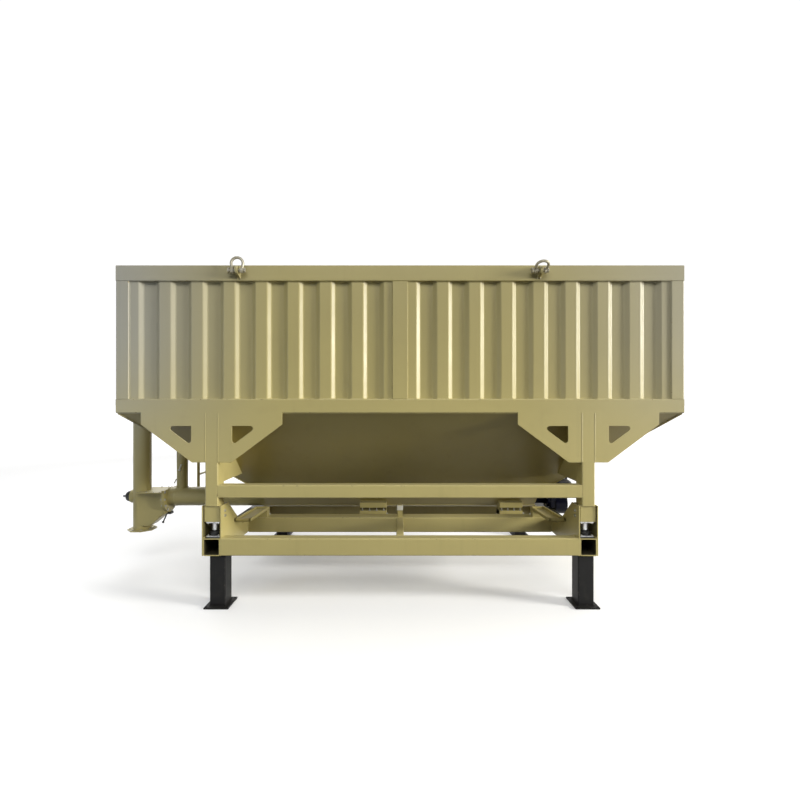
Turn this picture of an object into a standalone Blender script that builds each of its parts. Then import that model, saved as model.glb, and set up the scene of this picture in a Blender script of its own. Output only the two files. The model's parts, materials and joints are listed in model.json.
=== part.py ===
"""Horizontal cement silo on a weighed support frame, with a discharge screw under the hopper.

Metres, +Z up. The length runs along X, the front is at -Y and the foot plates stand on z = 0.
The origin is on the floor under the middle of the whole outline, the outlet included.
Run it with: blender --background --python part.py
"""

from math import atan2, cos, pi, radians, sin, sqrt, tan

import bmesh
import bpy
from mathutils import Matrix, Vector

# The storage body
BODY_LENGTH = 4.38
BODY_WIDTH = 2.20
RIM_Z = 1.513
ROOF_Z = 2.653
TOP_RAIL_HEIGHT = 0.123
BOTTOM_RAIL_HEIGHT = 0.108
POST_SIZE = 0.100
CENTRE_POST_WIDTH = 0.115
ROOF_PLATE = 0.005
SILL = 0.002

# The corrugated sheets of the walls
SHEET = 0.003
SHEET_RECESS = 0.012
WAVE_DEPTH = 0.025
WAVE_PITCH = 0.248
WAVE_SLOPE = 0.030
WAVE_INNER_FLAT = 0.098
WAVES_PER_HALF_WALL = 8
WAVES_PER_END = 8

# The hopper and its trough
RIM_INSET = 0.010
HOPPER_SHEET = 0.006
TROUGH_RADIUS = 0.100
TROUGH_HALF_LENGTH = 1.330
TROUGH_ARC_STEPS = 8
END_PLATE_TOP_Z = 0.760
END_PLATE = 0.008
SCREW_AXIS_Z = 0.660

# Legs, gussets and saddle plates
LEG_X = 1.452
LEG_WIDTH = 0.100
LEG_DEPTH = 0.130
CAP_TOP_Z = 0.797
CAP_BOTTOM_Z = 0.671
CAP_WIDTH = 0.120
CAP_DEPTH = 0.140
GUSSET_PLATE = 0.010
GUSSET_RECESS = 0.002
GUSSET_TOP_HALF = 0.544
GUSSET_FOOT_HALF = 0.151
GUSSET_SHOULDER_Z = 1.4245
GUSSET_FOOT_Z = 1.132
HOLE_NEAR = 0.157
HOLE_TOP_Z = 1.413
HOLE_BOTTOM_Z = 1.262
HOLE_ROUNDING = 0.020
HOLE_CORNER_STEPS = 4
SADDLE_X = 1.430
SADDLE_PLATE = 0.010
MID_BEAM_BOTTOM_Z = 0.857
MID_BEAM_SIZE = 0.100

# The base frame
SIDE_BEAM_WIDTH = 0.130
SIDE_BEAM_BOTTOM_Z = 0.412
SIDE_BEAM_TOP_Z = 0.547
SIDE_BEAM_WALL = 0.008
CHEEK_PLATE = 0.010
CHEEK_TOP_DEPTH = 0.150
CHEEK_FOOT_DEPTH = 0.480
CHEEK_BITE = 0.002
CROSS_BEAM_BOTTOM_Z = 0.412
CROSS_BEAM_DEPTH = 0.100
INNER_BEAM_FACE_Y = 0.430
INNER_BEAM_DEPTH = 0.150
TIE_WIDTH = 0.060
TIE_HEIGHT = 0.080
STOP_Y = 0.380
STOP_SIZE = 0.045
STOP_TOP_Z = 0.655
BRACKET_FAR_X = (1.214, 1.344)
BRACKET_NEAR_X = 1.240
BRACKET_Y = (0.345, 0.816)
BRACKET_TOP_Z = 0.632
BRACKET_PLATE = 0.025
BRACKET_FOOT_DEPTH = 0.075

# Load cells
CELL_PLATE = 0.012
CELL_PLATE_SIZE = 0.104
CELL_BASE_RADIUS = 0.046
CELL_BASE_HEIGHT = 0.034
CELL_COLUMN_RADIUS = 0.027

# The feet
FOOT_POST = 0.124
FOOT_POST_DEPTH = 0.140
FOOT_PLATE_WIDTH = 0.190
FOOT_PLATE_DEPTH = 0.215
FOOT_PLATE = 0.012
FOOT_HEAD_PLATE = 0.010
FOOT_X = {"left": -1.420, "right": 1.448}

# The screw, its outlet, and the pipes at the left end
TUBE_RADIUS = 0.093
FLANGE_X = -2.315
FLANGE_PLATE = 0.012
FLANGE_HALF = 0.145
FLANGE_ROUND_Z = 0.650
FLANGE_TOP_Z = 0.738
OUTLET_X = -2.588
OUTLET_RADIUS = 0.083
OUTLET_WALL = 0.006
OUTLET_Z = 0.328
OUTLET_FLANGE_RADIUS = 0.133
OUTLET_FLANGE_PLATE = 0.012
CHUTE_HALF_WIDTH = 0.079
CHUTE_TOP_Z = 0.720
CHUTE_MOUTH_Z = 0.500
CHUTE_KNEE = (-2.345, 0.486)
CHUTE_FOOT = (-2.480, 0.374)
COVER_HALF_WIDTH = 0.165
COVER_PLATE = 0.008
RISER_TOP_Z = 2.300
RISER_BEND = 0.180
RISER_BEND_STEPS = 8
WALL_PAD_HALF = 0.170
WALL_PAD = 0.008
BEARING_RADIUS = 0.057
BEARING_NOSE_RADIUS = 0.046
BEARING_BOSS_RADIUS = 0.065
BEARING_FACE_X = -2.690
BEARING_LENGTH = 0.051
STUB_RADIUS = 0.012
STUB_SIDES = 16
LEFT_REACH = 2.780
VENT_X = -2.187
VENT_RADIUS = 0.0525

# The drive at the right end
GEARBOX_X = (1.475, 1.650)
GEARBOX_Z = (0.560, 0.880)
GEARBOX_HALF_WIDTH = 0.100
GEARBOX_LOBE_X = (1.530, 1.650)
GEARBOX_LOBE_RADIUS = 0.112
GEARBOX_LOBE_Z = 0.600
NECK_RADIUS = 0.070
NECK_FLANGE_RADIUS = 0.105
NECK_FLANGE = 0.020
MOTOR_X = 1.524
MOTOR_Z = 0.802
MOTOR_RADIUS = 0.088
MOTOR_LENGTH = 0.270

# Clean-out doors under the hopper
DOORS = {"left": (-0.260, 0.256), "right": (1.070, 0.221)}
DOOR_NEAR_Y = 0.190
DOOR_FAR_Y = 0.040
DOOR_TOP_Z = 0.640
DOOR_BOTTOM_Z = 0.500
DOOR_COVER = 0.012
DOOR_COVER_LIP = 0.008

# The ladder on the left end
LADDER_X = -2.250
LADDER_Y = (0.520, 0.920)
LADDER_BAR_RADIUS = 0.016
RUNG_RADIUS = 0.011
LADDER_ARM_RADIUS = 0.013
LADDER_SIDES = 8
LADDER_BOTTOM_Z = 0.560
LADDER_TOP_Z = 2.640
RUNG_BOTTOM_Z = 0.800
RUNG_PITCH = 0.300
RUNG_COUNT = 7

# Lifting lugs and shackles, with the pin along X at rest
LUG_X = {"left": -1.240, "right": 1.070}
LUG_PLATE = 0.020
LUG_PIN_OUT = 0.042
LUG_PIN_Z = 2.600
LUG_RADIUS = 0.034
LUG_BOTTOM_Z = 2.545
LUG_ROOT = 0.020
LUG_TOP_INSET = 0.005
PIN_RADIUS = 0.0125
PIN_CLEARANCE = 0.0005
PIN_LENGTH = 0.128
PIN_HEAD_RADIUS = 0.021
PIN_HEAD = 0.012
EAR_X = 0.036
EAR_RADIUS = 0.023
EAR_LENGTH = 0.022
BOW_WIRE_RADIUS = 0.011
BOW_RADIUS = 0.045
BOW_CENTRE_Z = 0.052
BOW_STEPS = 12
SHACKLE_LEAN = {"left": 0.0, "right": 62.0}

SEAT_GAP = 0.0003
ROUND_SIDES = 24

HALF_LENGTH = BODY_LENGTH / 2
HALF_WIDTH = BODY_WIDTH / 2
BODY_X = (LEFT_REACH - HALF_LENGTH) / 2
SIDES = {"front": -1, "rear": 1}
ENDS = {"left": -1, "right": 1}

COLLECTION = "horizontal_cement_silo"
CUTTERS = "construction_shapes"

BEIGE = ((0.42, 0.37, 0.20), 0.55, 0.0)
FOOT_BLACK = ((0.02, 0.02, 0.018), 0.55, 0.0)
CELL_METAL = ((0.35, 0.36, 0.37), 0.35, 0.9)
DRIVE_BLUE = ((0.02, 0.03, 0.12), 0.40, 0.0)
BEARING_BLACK = ((0.015, 0.015, 0.015), 0.50, 0.0)
SHACKLE_GREY = ((0.22, 0.21, 0.17), 0.50, 0.3)


def clear_scene():
    for obj in list(bpy.data.objects):
        bpy.data.objects.remove(obj, do_unlink=True)


def collection_named(name):
    found = bpy.data.collections.new(name)
    bpy.context.scene.collection.children.link(found)
    return found


def painted(name, look):
    colour, roughness, metallic = look
    material = bpy.data.materials.new(name)
    material.use_nodes = True
    shader = material.node_tree.nodes["Principled BSDF"]
    shader.inputs["Base Color"].default_value = (*colour, 1.0)
    shader.inputs["Roughness"].default_value = roughness
    shader.inputs["Metallic"].default_value = metallic
    return material


def add_object(name, mesh, look=None, smooth=False):
    """An object in the silo's collection, or in the construction shapes where it has no look."""
    obj = bpy.data.objects.new(name, mesh)
    home = bpy.data.collections[COLLECTION if look else CUTTERS]
    home.objects.link(obj)
    if look:
        mesh.materials.append(painted(name, look))
    else:
        obj.hide_render = True
        obj.display_type = "WIRE"
    if smooth:
        mesh.shade_smooth()
        mesh.set_sharp_from_angle(angle=radians(40))
    return obj


def finish_mesh(bm, name):
    bmesh.ops.recalc_face_normals(bm, faces=bm.faces)
    mesh = bpy.data.meshes.new(name)
    bm.to_mesh(mesh)
    bm.free()
    return mesh


def box(name, low, high, look=None):
    """A box between two corners, with its origin in its middle."""
    low, high = Vector(low), Vector(high)
    bm = bmesh.new()
    bmesh.ops.create_cube(bm, size=1.0)
    bmesh.ops.scale(bm, vec=high - low, verts=bm.verts)
    obj = add_object(name, finish_mesh(bm, name), look)
    obj.location = (low + high) / 2
    return obj


def cylinder(name, start, axis, length, radius, look=None, sides=ROUND_SIDES, end_radius=None):
    """A cylinder or cone from start along the axis X, Y or Z."""
    bm = bmesh.new()
    bmesh.ops.create_cone(
        bm,
        cap_ends=True,
        segments=sides,
        radius1=radius,
        radius2=radius if end_radius is None else end_radius,
        depth=abs(length),
        matrix=Matrix.Translation((0, 0, abs(length) / 2)),
    )
    direction = Vector([float(letter == axis) for letter in "XYZ"])
    if length < 0:
        direction.negate()
    turn = direction.to_track_quat("Z", "Y").to_matrix().to_4x4()
    bmesh.ops.transform(bm, matrix=turn, verts=bm.verts)
    obj = add_object(name, finish_mesh(bm, name), look, smooth=True)
    obj.location = start
    return obj


def prism(name, outline, axis, start, thickness, look=None):
    """A flat outline in the plane across the axis, made solid from start by the thickness.

    The outline's pairs are (y, z) across X, (x, z) across Y and (x, y) across Z.
    """
    place = {
        "X": lambda a, b: (start, a, b),
        "Y": lambda a, b: (a, start, b),
        "Z": lambda a, b: (a, b, start),
    }[axis]
    along = Vector([thickness * (letter == axis) for letter in "XYZ"])
    bm = bmesh.new()
    face = bm.faces.new([bm.verts.new(place(a, b)) for a, b in outline])
    made = bmesh.ops.extrude_face_region(bm, geom=[face])
    moved = [part for part in made["geom"] if isinstance(part, bmesh.types.BMVert)]
    bmesh.ops.translate(bm, vec=along, verts=moved)
    return add_object(name, finish_mesh(bm, name), look)


def combine(obj, other, operation):
    modifier = obj.modifiers.new(other.name, "BOOLEAN")
    modifier.operation = operation
    modifier.solver = "EXACT"
    modifier.object = other


def join(obj, *others):
    for other in others:
        combine(obj, other, "UNION")


def cut(obj, *others):
    for other in others:
        combine(obj, other, "DIFFERENCE")


def hopper_y(z):
    """How far the long slopes lie from the middle plane at a height, on their outer face."""
    return HALF_WIDTH - RIM_INSET - (RIM_Z - z) / tan(slope_angle())


def slope_angle():
    """The angle of the long slopes, which run from the rim and just touch the trough's round."""
    across = HALF_WIDTH - RIM_INSET
    down = RIM_Z - SCREW_AXIS_Z
    reach = sqrt(across**2 + down**2)
    return atan2(down, across) + TROUGH_RADIUS / reach


def end_slope_x(z):
    """How far the end slopes lie from the body's middle at a height, on their outer face."""
    run = HALF_LENGTH - RIM_INSET - TROUGH_HALF_LENGTH
    return TROUGH_HALF_LENGTH + run * (z - END_PLATE_TOP_Z) / (RIM_Z - END_PLATE_TOP_Z)


def arc(centre, radius, first, last, steps):
    """Points of a round stretch in a plane, with the angles in radians."""
    turns = [first + (last - first) * i / steps for i in range(steps + 1)]
    return [(centre[0] + radius * cos(a), centre[1] + radius * sin(a)) for a in turns]


def wave_profile(width, waves):
    """The corrugated sheet's outer line: pairs of distance along the wall and depth."""
    wave = 2 * WAVE_SLOPE + WAVE_INNER_FLAT
    edge = (width - (waves - 1) * WAVE_PITCH - wave) / 2
    points = [(0.0, 0.0)]
    for i in range(waves):
        start = edge + i * WAVE_PITCH
        points += [
            (start, 0.0),
            (start + WAVE_SLOPE, WAVE_DEPTH),
            (start + WAVE_SLOPE + WAVE_INNER_FLAT, WAVE_DEPTH),
            (start + wave, 0.0),
        ]
    return points + [(width, 0.0)]


def corrugated_sheet(name, lines, low_z, high_z, look=None):
    """Sheets that follow outer lines in the floor plane and stand between two heights."""
    bm = bmesh.new()
    verts = [bm.verts.new((x, y, low_z)) for x, y in lines]
    edges = [bm.edges.new(pair) for pair in zip(verts, verts[1:])]
    made = bmesh.ops.extrude_edge_only(bm, edges=edges)
    moved = [part for part in made["geom"] if isinstance(part, bmesh.types.BMVert)]
    bmesh.ops.translate(bm, vec=(0, 0, high_z - low_z), verts=moved)
    obj = add_object(name, finish_mesh(bm, name), look)
    solid = obj.modifiers.new("sheet", "SOLIDIFY")
    solid.thickness = SHEET
    solid.offset = 0
    solid.use_even_offset = True
    return obj


def long_wall(side_name, side):
    """One long wall: top and bottom rails, the corrugated sheet and the post before its middle."""
    low_z, high_z = RIM_Z + BOTTOM_RAIL_HEIGHT, ROOF_Z - TOP_RAIL_HEIGHT
    outer, inner = side * HALF_WIDTH, side * (HALF_WIDTH - POST_SIZE)
    left, right = BODY_X - HALF_LENGTH, BODY_X + HALF_LENGTH
    y_low, y_high = sorted((outer, inner))
    box(f"bottom_rail_{side_name}", (left, y_low, RIM_Z), (right, y_high, low_z), BEIGE)
    top = box(f"top_rail_{side_name}", (left, y_low, high_z), (right, y_high, ROOF_Z), BEIGE)
    for end_name in ENDS:
        join(top, lifting_lug(f"{side_name}_{end_name}", LUG_X[end_name], side))
    half_post = CENTRE_POST_WIDTH / 2
    half_wall = HALF_LENGTH - POST_SIZE - half_post
    profile = wave_profile(half_wall - SEAT_GAP, WAVES_PER_HALF_WALL)
    face = HALF_WIDTH - SHEET_RECESS - SHEET / 2
    waves = [(half_post + a, side * (face - depth)) for a, depth in profile]
    line = [(BODY_X - x, y) for x, y in reversed(waves)]
    line += [(BODY_X + x, y) for x, y in waves]
    corrugated_sheet(
        f"wall_sheet_{side_name}", line, low_z + SEAT_GAP, high_z - SEAT_GAP, BEIGE
    )
    back = HALF_WIDTH - SHEET_RECESS + SEAT_GAP
    y_low, y_high = sorted((outer, side * back))
    box(
        f"centre_post_{side_name}",
        (BODY_X - half_post, y_low, low_z + SEAT_GAP),
        (BODY_X + half_post, y_high, high_z - SEAT_GAP),
        BEIGE,
    )


def end_wall(end_name, end):
    """One end wall: two corner posts, two rails and the corrugated sheet, welded to one piece."""
    low_z, high_z = RIM_Z + BOTTOM_RAIL_HEIGHT, ROOF_Z - TOP_RAIL_HEIGHT
    outer = BODY_X + end * HALF_LENGTH
    inner = BODY_X + end * (HALF_LENGTH - POST_SIZE)
    x_low, x_high = sorted((outer, inner))
    between = HALF_WIDTH - POST_SIZE
    name = f"end_wall_{end_name}"
    frame = box(
        name,
        (x_low, -HALF_WIDTH, low_z + SEAT_GAP),
        (x_high, HALF_WIDTH, high_z - SEAT_GAP),
        BEIGE,
    )
    window = box(
        f"{name}_window",
        (x_low - POST_SIZE, -between, low_z - POST_SIZE),
        (x_high + POST_SIZE, between, high_z + POST_SIZE),
    )
    cut(frame, window)
    reach = between - SEAT_GAP
    rails = {"bottom": (RIM_Z, low_z + SILL), "top": (high_z - SILL, ROOF_Z)}
    for level, (bottom, top) in rails.items():
        rail = box(f"{name}_{level}_rail", (x_low, -reach, bottom), (x_high, reach, top))
        join(frame, rail)
    face = HALF_LENGTH - SHEET_RECESS - SHEET / 2
    tuck = POST_SIZE / 4
    profile = wave_profile(2 * between, WAVES_PER_END)
    line = [(BODY_X + end * (face - depth), a - between) for a, depth in profile]
    line[0] = (line[0][0], line[0][1] - tuck)
    line[-1] = (line[-1][0], line[-1][1] + tuck)
    sheet = corrugated_sheet(f"{name}_sheet", line, low_z + SILL / 2, high_z - SILL / 2)
    join(frame, sheet)


def roof():
    long_reach = HALF_LENGTH - POST_SIZE - SEAT_GAP
    wide_reach = HALF_WIDTH - POST_SIZE - SEAT_GAP
    low = (BODY_X - long_reach, -wide_reach, ROOF_Z - ROOF_PLATE)
    high = (BODY_X + long_reach, wide_reach, ROOF_Z)
    box("roof_plate", low, high, BEIGE)


def hopper_core(clear):
    """The space that the hopper and trough take up, grown by a clearance, as (y, z) points."""
    angle = slope_angle()
    high = RIM_Z + HOPPER_SHEET
    side = hopper_y(high) + clear / sin(angle)
    round_part = arc(
        (0, SCREW_AXIS_Z),
        TROUGH_RADIUS + clear,
        -pi / 2 - angle,
        -pi / 2 + angle,
        TROUGH_ARC_STEPS,
    )
    return [(-side, high)] + round_part + [(side, high)]


def end_slope_line(depth):
    """The end slopes' line at a depth inside their outer face: its low and high (x, z) points."""
    lean = atan2(RIM_Z - END_PLATE_TOP_Z, end_slope_x(RIM_Z) - TROUGH_HALF_LENGTH)
    inset = depth / sin(lean)
    low_z, high_z = END_PLATE_TOP_Z + SEAT_GAP, RIM_Z - SEAT_GAP
    return [(end_slope_x(low_z) - inset, low_z), (end_slope_x(high_z) - inset, high_z)]


def outside_end_slope(end, clear):
    """Everything beyond an end slope and its end plate, as (x, z) points about the body's middle."""
    (low_x, low_z), (high_x, high_z) = end_slope_line(-clear)
    far = BODY_LENGTH
    foot = TROUGH_HALF_LENGTH + clear
    outline = [(foot, 0.0), (foot, low_z), (low_x, low_z), (high_x, high_z)]
    outline += [(high_x, RIM_Z + HOPPER_SHEET), (far, RIM_Z + HOPPER_SHEET), (far, 0.0)]
    return [(BODY_X + end * x, z) for x, z in outline]


def hopper():
    """The hopper: two long slopes, two end slopes and the trough with its two end plates."""
    angle = slope_angle()
    left = BODY_X - HALF_LENGTH
    beyond = [
        prism(f"beyond_{name}", outside_end_slope(end, 0.0), "Y", -HALF_WIDTH, BODY_WIDTH)
        for name, end in ENDS.items()
    ]
    lean = HOPPER_SHEET / sin(angle)
    touch = [TROUGH_RADIUS * sin(angle), SCREW_AXIS_Z - TROUGH_RADIUS * cos(angle)]
    low_y = touch[0] + SEAT_GAP * cos(angle)
    low_z = touch[1] + SEAT_GAP * sin(angle)
    high_z = RIM_Z - SEAT_GAP
    for name, side in SIDES.items():
        outline = [
            (side * low_y, low_z),
            (side * hopper_y(high_z), high_z),
            (side * (hopper_y(high_z) - lean), high_z),
            (side * (low_y - HOPPER_SHEET * sin(angle)), low_z + HOPPER_SHEET * cos(angle)),
        ]
        cut(prism(f"hopper_slope_{name}", outline, "X", left, BODY_LENGTH, BEIGE), *beyond)
    core = hopper_core(-HOPPER_SHEET - SEAT_GAP)
    inside = prism("inside_long_slopes", core, "X", left, BODY_LENGTH)
    for name, end in ENDS.items():
        outline = end_slope_line(0.0) + end_slope_line(HOPPER_SHEET)[::-1]
        outline = [(BODY_X + end * x, z) for x, z in outline]
        slope = prism(f"hopper_slope_{name}", outline, "Y", -HALF_WIDTH, BODY_WIDTH, BEIGE)
        combine(slope, inside, "INTERSECT")
        x_low, x_high = sorted((TROUGH_HALF_LENGTH, TROUGH_HALF_LENGTH - END_PLATE))
        x_low, x_high = sorted((BODY_X + end * x_low, BODY_X + end * x_high))
        plate = box(
            f"trough_end_{name}",
            (x_low, -HALF_WIDTH, SCREW_AXIS_Z - TROUGH_RADIUS),
            (x_high, HALF_WIDTH, END_PLATE_TOP_Z),
            BEIGE,
        )
        combine(plate, inside, "INTERSECT")
    turns = (-pi / 2 - angle, -pi / 2 + angle)
    outer = arc((0, SCREW_AXIS_Z), TROUGH_RADIUS, *turns, TROUGH_ARC_STEPS)
    inner = arc((0, SCREW_AXIS_Z), TROUGH_RADIUS - HOPPER_SHEET, *turns, TROUGH_ARC_STEPS)
    start = BODY_X - TROUGH_HALF_LENGTH
    outline = outer + inner[::-1]
    prism("screw_trough", outline, "X", start, 2 * TROUGH_HALF_LENGTH, BEIGE)


def rounded(corners, radius, steps):
    """A flat outline whose corners with a True mark become arcs."""
    points = []
    for i, (corner, is_round) in enumerate(corners):
        here = Vector(corner)
        if not is_round:
            points.append(tuple(here))
            continue
        before = (Vector(corners[i - 1][0]) - here).normalized()
        after = (Vector(corners[(i + 1) % len(corners)][0]) - here).normalized()
        half = before.angle(after) / 2
        middle = here + (before + after).normalized() * (radius / sin(half))
        first = here + before * (radius / tan(half)) - middle
        last = here + after * (radius / tan(half)) - middle
        sweep = first.angle_signed(last)
        for step in range(steps + 1):
            spoke = first.copy()
            spoke.rotate(Matrix.Rotation(-sweep * step / steps, 2))
            points.append(tuple(middle + spoke))
    return points


def gusset_plate(name, centre, side):
    """Both gusset wings of a leg in one plate, with their two rounded holes."""
    y = side * (HALF_WIDTH - GUSSET_RECESS)
    half = [
        (GUSSET_TOP_HALF, RIM_Z - SEAT_GAP),
        (GUSSET_TOP_HALF, GUSSET_SHOULDER_Z),
        (GUSSET_FOOT_HALF, GUSSET_FOOT_Z),
    ]
    outline = [(centre + x, z) for x, z in half] + [(centre - x, z) for x, z in half[::-1]]
    plate = prism(name, outline, "Y", y, -side * GUSSET_PLATE)
    fall = (GUSSET_SHOULDER_Z - GUSSET_FOOT_Z) / (GUSSET_TOP_HALF - GUSSET_FOOT_HALF)
    far = HOLE_NEAR + (HOLE_TOP_Z - HOLE_BOTTOM_Z) / fall
    for hand in (-1, 1):
        corners = [
            ((centre + hand * HOLE_NEAR, HOLE_TOP_Z), False),
            ((centre + hand * far, HOLE_TOP_Z), True),
            ((centre + hand * HOLE_NEAR, HOLE_BOTTOM_Z), True),
        ]
        hole = rounded(corners, HOLE_ROUNDING, HOLE_CORNER_STEPS)
        start = y + side * GUSSET_PLATE
        cut(plate, prism(f"{name}_hole", hole, "Y", start, -3 * side * GUSSET_PLATE))
    return plate


def saddle_plate(name, x, side):
    """The plate that stands behind a leg, under the long slope."""
    angle = slope_angle()
    low_z = MID_BEAM_BOTTOM_Z + MID_BEAM_SIZE + SEAT_GAP
    near = HALF_WIDTH - LEG_DEPTH / 2
    near_z = RIM_Z - (HALF_WIDTH - RIM_INSET - near) * tan(angle)
    outline = [(near, low_z), (near, near_z), (hopper_y(low_z), low_z)]
    outline = [(side * y, z) for y, z in outline]
    return prism(name, outline, "X", x - SADDLE_PLATE / 2, SADDLE_PLATE)


def legs():
    """Four legs, each welded up from a post, its gusset wings, a saddle plate and a cap."""
    core = hopper_core(SEAT_GAP)
    space = prism("hopper_space", core, "X", BODY_X - HALF_LENGTH, BODY_LENGTH)
    for side_name, side in SIDES.items():
        for end_name, end in ENDS.items():
            name = f"leg_{side_name}_{end_name}"
            x = BODY_X + end * LEG_X
            y_low, y_high = sorted((side * HALF_WIDTH, side * (HALF_WIDTH - LEG_DEPTH)))
            leg = box(
                name,
                (x - LEG_WIDTH / 2, y_low, CAP_TOP_Z - SEAT_GAP),
                (x + LEG_WIDTH / 2, y_high, RIM_Z - SEAT_GAP),
                BEIGE,
            )
            front = HALF_WIDTH - CHEEK_PLATE
            y_low, y_high = sorted((side * front, side * (front - CAP_DEPTH)))
            cap = box(
                f"{name}_cap",
                (x - CAP_WIDTH / 2, y_low, CAP_BOTTOM_Z),
                (x + CAP_WIDTH / 2, y_high, CAP_TOP_Z),
            )
            saddle = saddle_plate(f"{name}_saddle", BODY_X + end * SADDLE_X, side)
            join(leg, cap, gusset_plate(f"{name}_gusset", x, side), saddle)
            cut(leg, space)
    reach = LEG_X - LEG_WIDTH / 2 - SEAT_GAP
    for side_name, side in SIDES.items():
        y_low, y_high = sorted((side * HALF_WIDTH, side * (HALF_WIDTH - MID_BEAM_SIZE)))
        box(
            f"mid_beam_{side_name}",
            (BODY_X - reach, y_low, MID_BEAM_BOTTOM_Z),
            (BODY_X + reach, y_high, MID_BEAM_BOTTOM_Z + MID_BEAM_SIZE),
            BEIGE,
        )


def cheek_plate(name, x, side):
    """A plate beside a load cell, from the foot of the side beam to the leg's cap."""
    outline = [
        (HALF_WIDTH, SIDE_BEAM_BOTTOM_Z),
        (HALF_WIDTH, CAP_TOP_Z),
        (HALF_WIDTH - CHEEK_TOP_DEPTH, CAP_TOP_Z),
        (HALF_WIDTH - CHEEK_FOOT_DEPTH, SIDE_BEAM_TOP_Z),
        (HALF_WIDTH - CHEEK_FOOT_DEPTH, SIDE_BEAM_BOTTOM_Z),
    ]
    outline = [(side * y, z) for y, z in outline]
    return prism(name, outline, "X", x, CHEEK_PLATE + CHEEK_BITE)


def side_beams():
    """The two open-ended beams that run front to back, each with its four cheek plates."""
    half = SIDE_BEAM_WIDTH / 2
    for end_name, end in ENDS.items():
        x = BODY_X + end * LEG_X
        name = f"side_beam_{end_name}"
        beam = box(
            name,
            (x - half, -HALF_WIDTH, SIDE_BEAM_BOTTOM_Z),
            (x + half, HALF_WIDTH, SIDE_BEAM_TOP_Z),
            BEIGE,
        )
        for side_name, side in SIDES.items():
            low = cheek_plate(f"{name}_{side_name}_low", x - half - CHEEK_PLATE, side)
            high = cheek_plate(f"{name}_{side_name}_high", x + half - CHEEK_BITE, side)
            join(beam, low, high)
        inner = half - SIDE_BEAM_WALL
        hollow = box(
            f"{name}_hollow",
            (x - inner, -BODY_WIDTH, SIDE_BEAM_BOTTOM_Z + SIDE_BEAM_WALL),
            (x + inner, BODY_WIDTH, SIDE_BEAM_TOP_Z - SIDE_BEAM_WALL),
        )
        cut(beam, hollow)


def bracket(name, end, side):
    """A flat arm on a block on the inner beam, which reaches forward to the cheek plate."""
    inner, outer = BRACKET_FAR_X
    far, near = BRACKET_Y
    cheek = LEG_X - SIDE_BEAM_WIDTH / 2 - CHEEK_PLATE - SEAT_GAP
    corners = [(inner, far), (outer, far), (cheek, near), (BRACKET_NEAR_X, near)]
    outline = [(BODY_X + end * x, side * y) for x, y in corners]
    low_z = BRACKET_TOP_Z - BRACKET_PLATE
    arm = prism(name, outline, "Z", low_z, BRACKET_PLATE)
    x_low, x_high = sorted(BODY_X + end * x for x in BRACKET_FAR_X)
    y_low, y_high = sorted((side * far, side * (far + BRACKET_FOOT_DEPTH)))
    sunk = SIDE_BEAM_TOP_Z - BRACKET_PLATE
    foot = box(f"{name}_foot", (x_low, y_low, sunk), (x_high, y_high, low_z + BRACKET_PLATE / 2))
    join(arm, foot)
    return arm


def cross_beams():
    """The beams along the length: one at the front, one at the rear and two under the trough."""
    reach = LEG_X - SIDE_BEAM_WIDTH / 2 - SEAT_GAP
    for side_name, side in SIDES.items():
        depths = (HALF_WIDTH, HALF_WIDTH - CROSS_BEAM_DEPTH)
        y_low, y_high = sorted(side * y for y in depths)
        box(
            f"base_beam_{side_name}",
            (BODY_X - reach + CHEEK_PLATE, y_low, CROSS_BEAM_BOTTOM_Z),
            (BODY_X + reach - CHEEK_PLATE, y_high, SIDE_BEAM_TOP_Z),
            BEIGE,
        )
        depths = (INNER_BEAM_FACE_Y, INNER_BEAM_FACE_Y - INNER_BEAM_DEPTH)
        y_low, y_high = sorted(side * y for y in depths)
        beam = box(
            f"inner_beam_{side_name}",
            (BODY_X - reach, y_low, CROSS_BEAM_BOTTOM_Z),
            (BODY_X + reach, y_high, SIDE_BEAM_TOP_Z),
            BEIGE,
        )
        far = HALF_WIDTH - CROSS_BEAM_DEPTH - SEAT_GAP
        y_low, y_high = sorted(side * y for y in (far, INNER_BEAM_FACE_Y - INNER_BEAM_DEPTH / 2))
        tie = box(
            f"inner_beam_{side_name}_tie",
            (BODY_X - TIE_WIDTH / 2, y_low, SIDE_BEAM_TOP_Z - TIE_HEIGHT),
            (BODY_X + TIE_WIDTH / 2, y_high, SIDE_BEAM_TOP_Z),
        )
        depths = (STOP_Y - STOP_SIZE / 2, STOP_Y + STOP_SIZE / 2)
        y_low, y_high = sorted(side * y for y in depths)
        stop = box(
            f"inner_beam_{side_name}_stop",
            (BODY_X - STOP_SIZE / 2, y_low, SIDE_BEAM_TOP_Z - STOP_SIZE / 2),
            (BODY_X + STOP_SIZE / 2, y_high, STOP_TOP_Z),
        )
        join(beam, tie, stop)
        for end_name, end in ENDS.items():
            join(beam, bracket(f"bracket_{side_name}_{end_name}", end, side))


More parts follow.
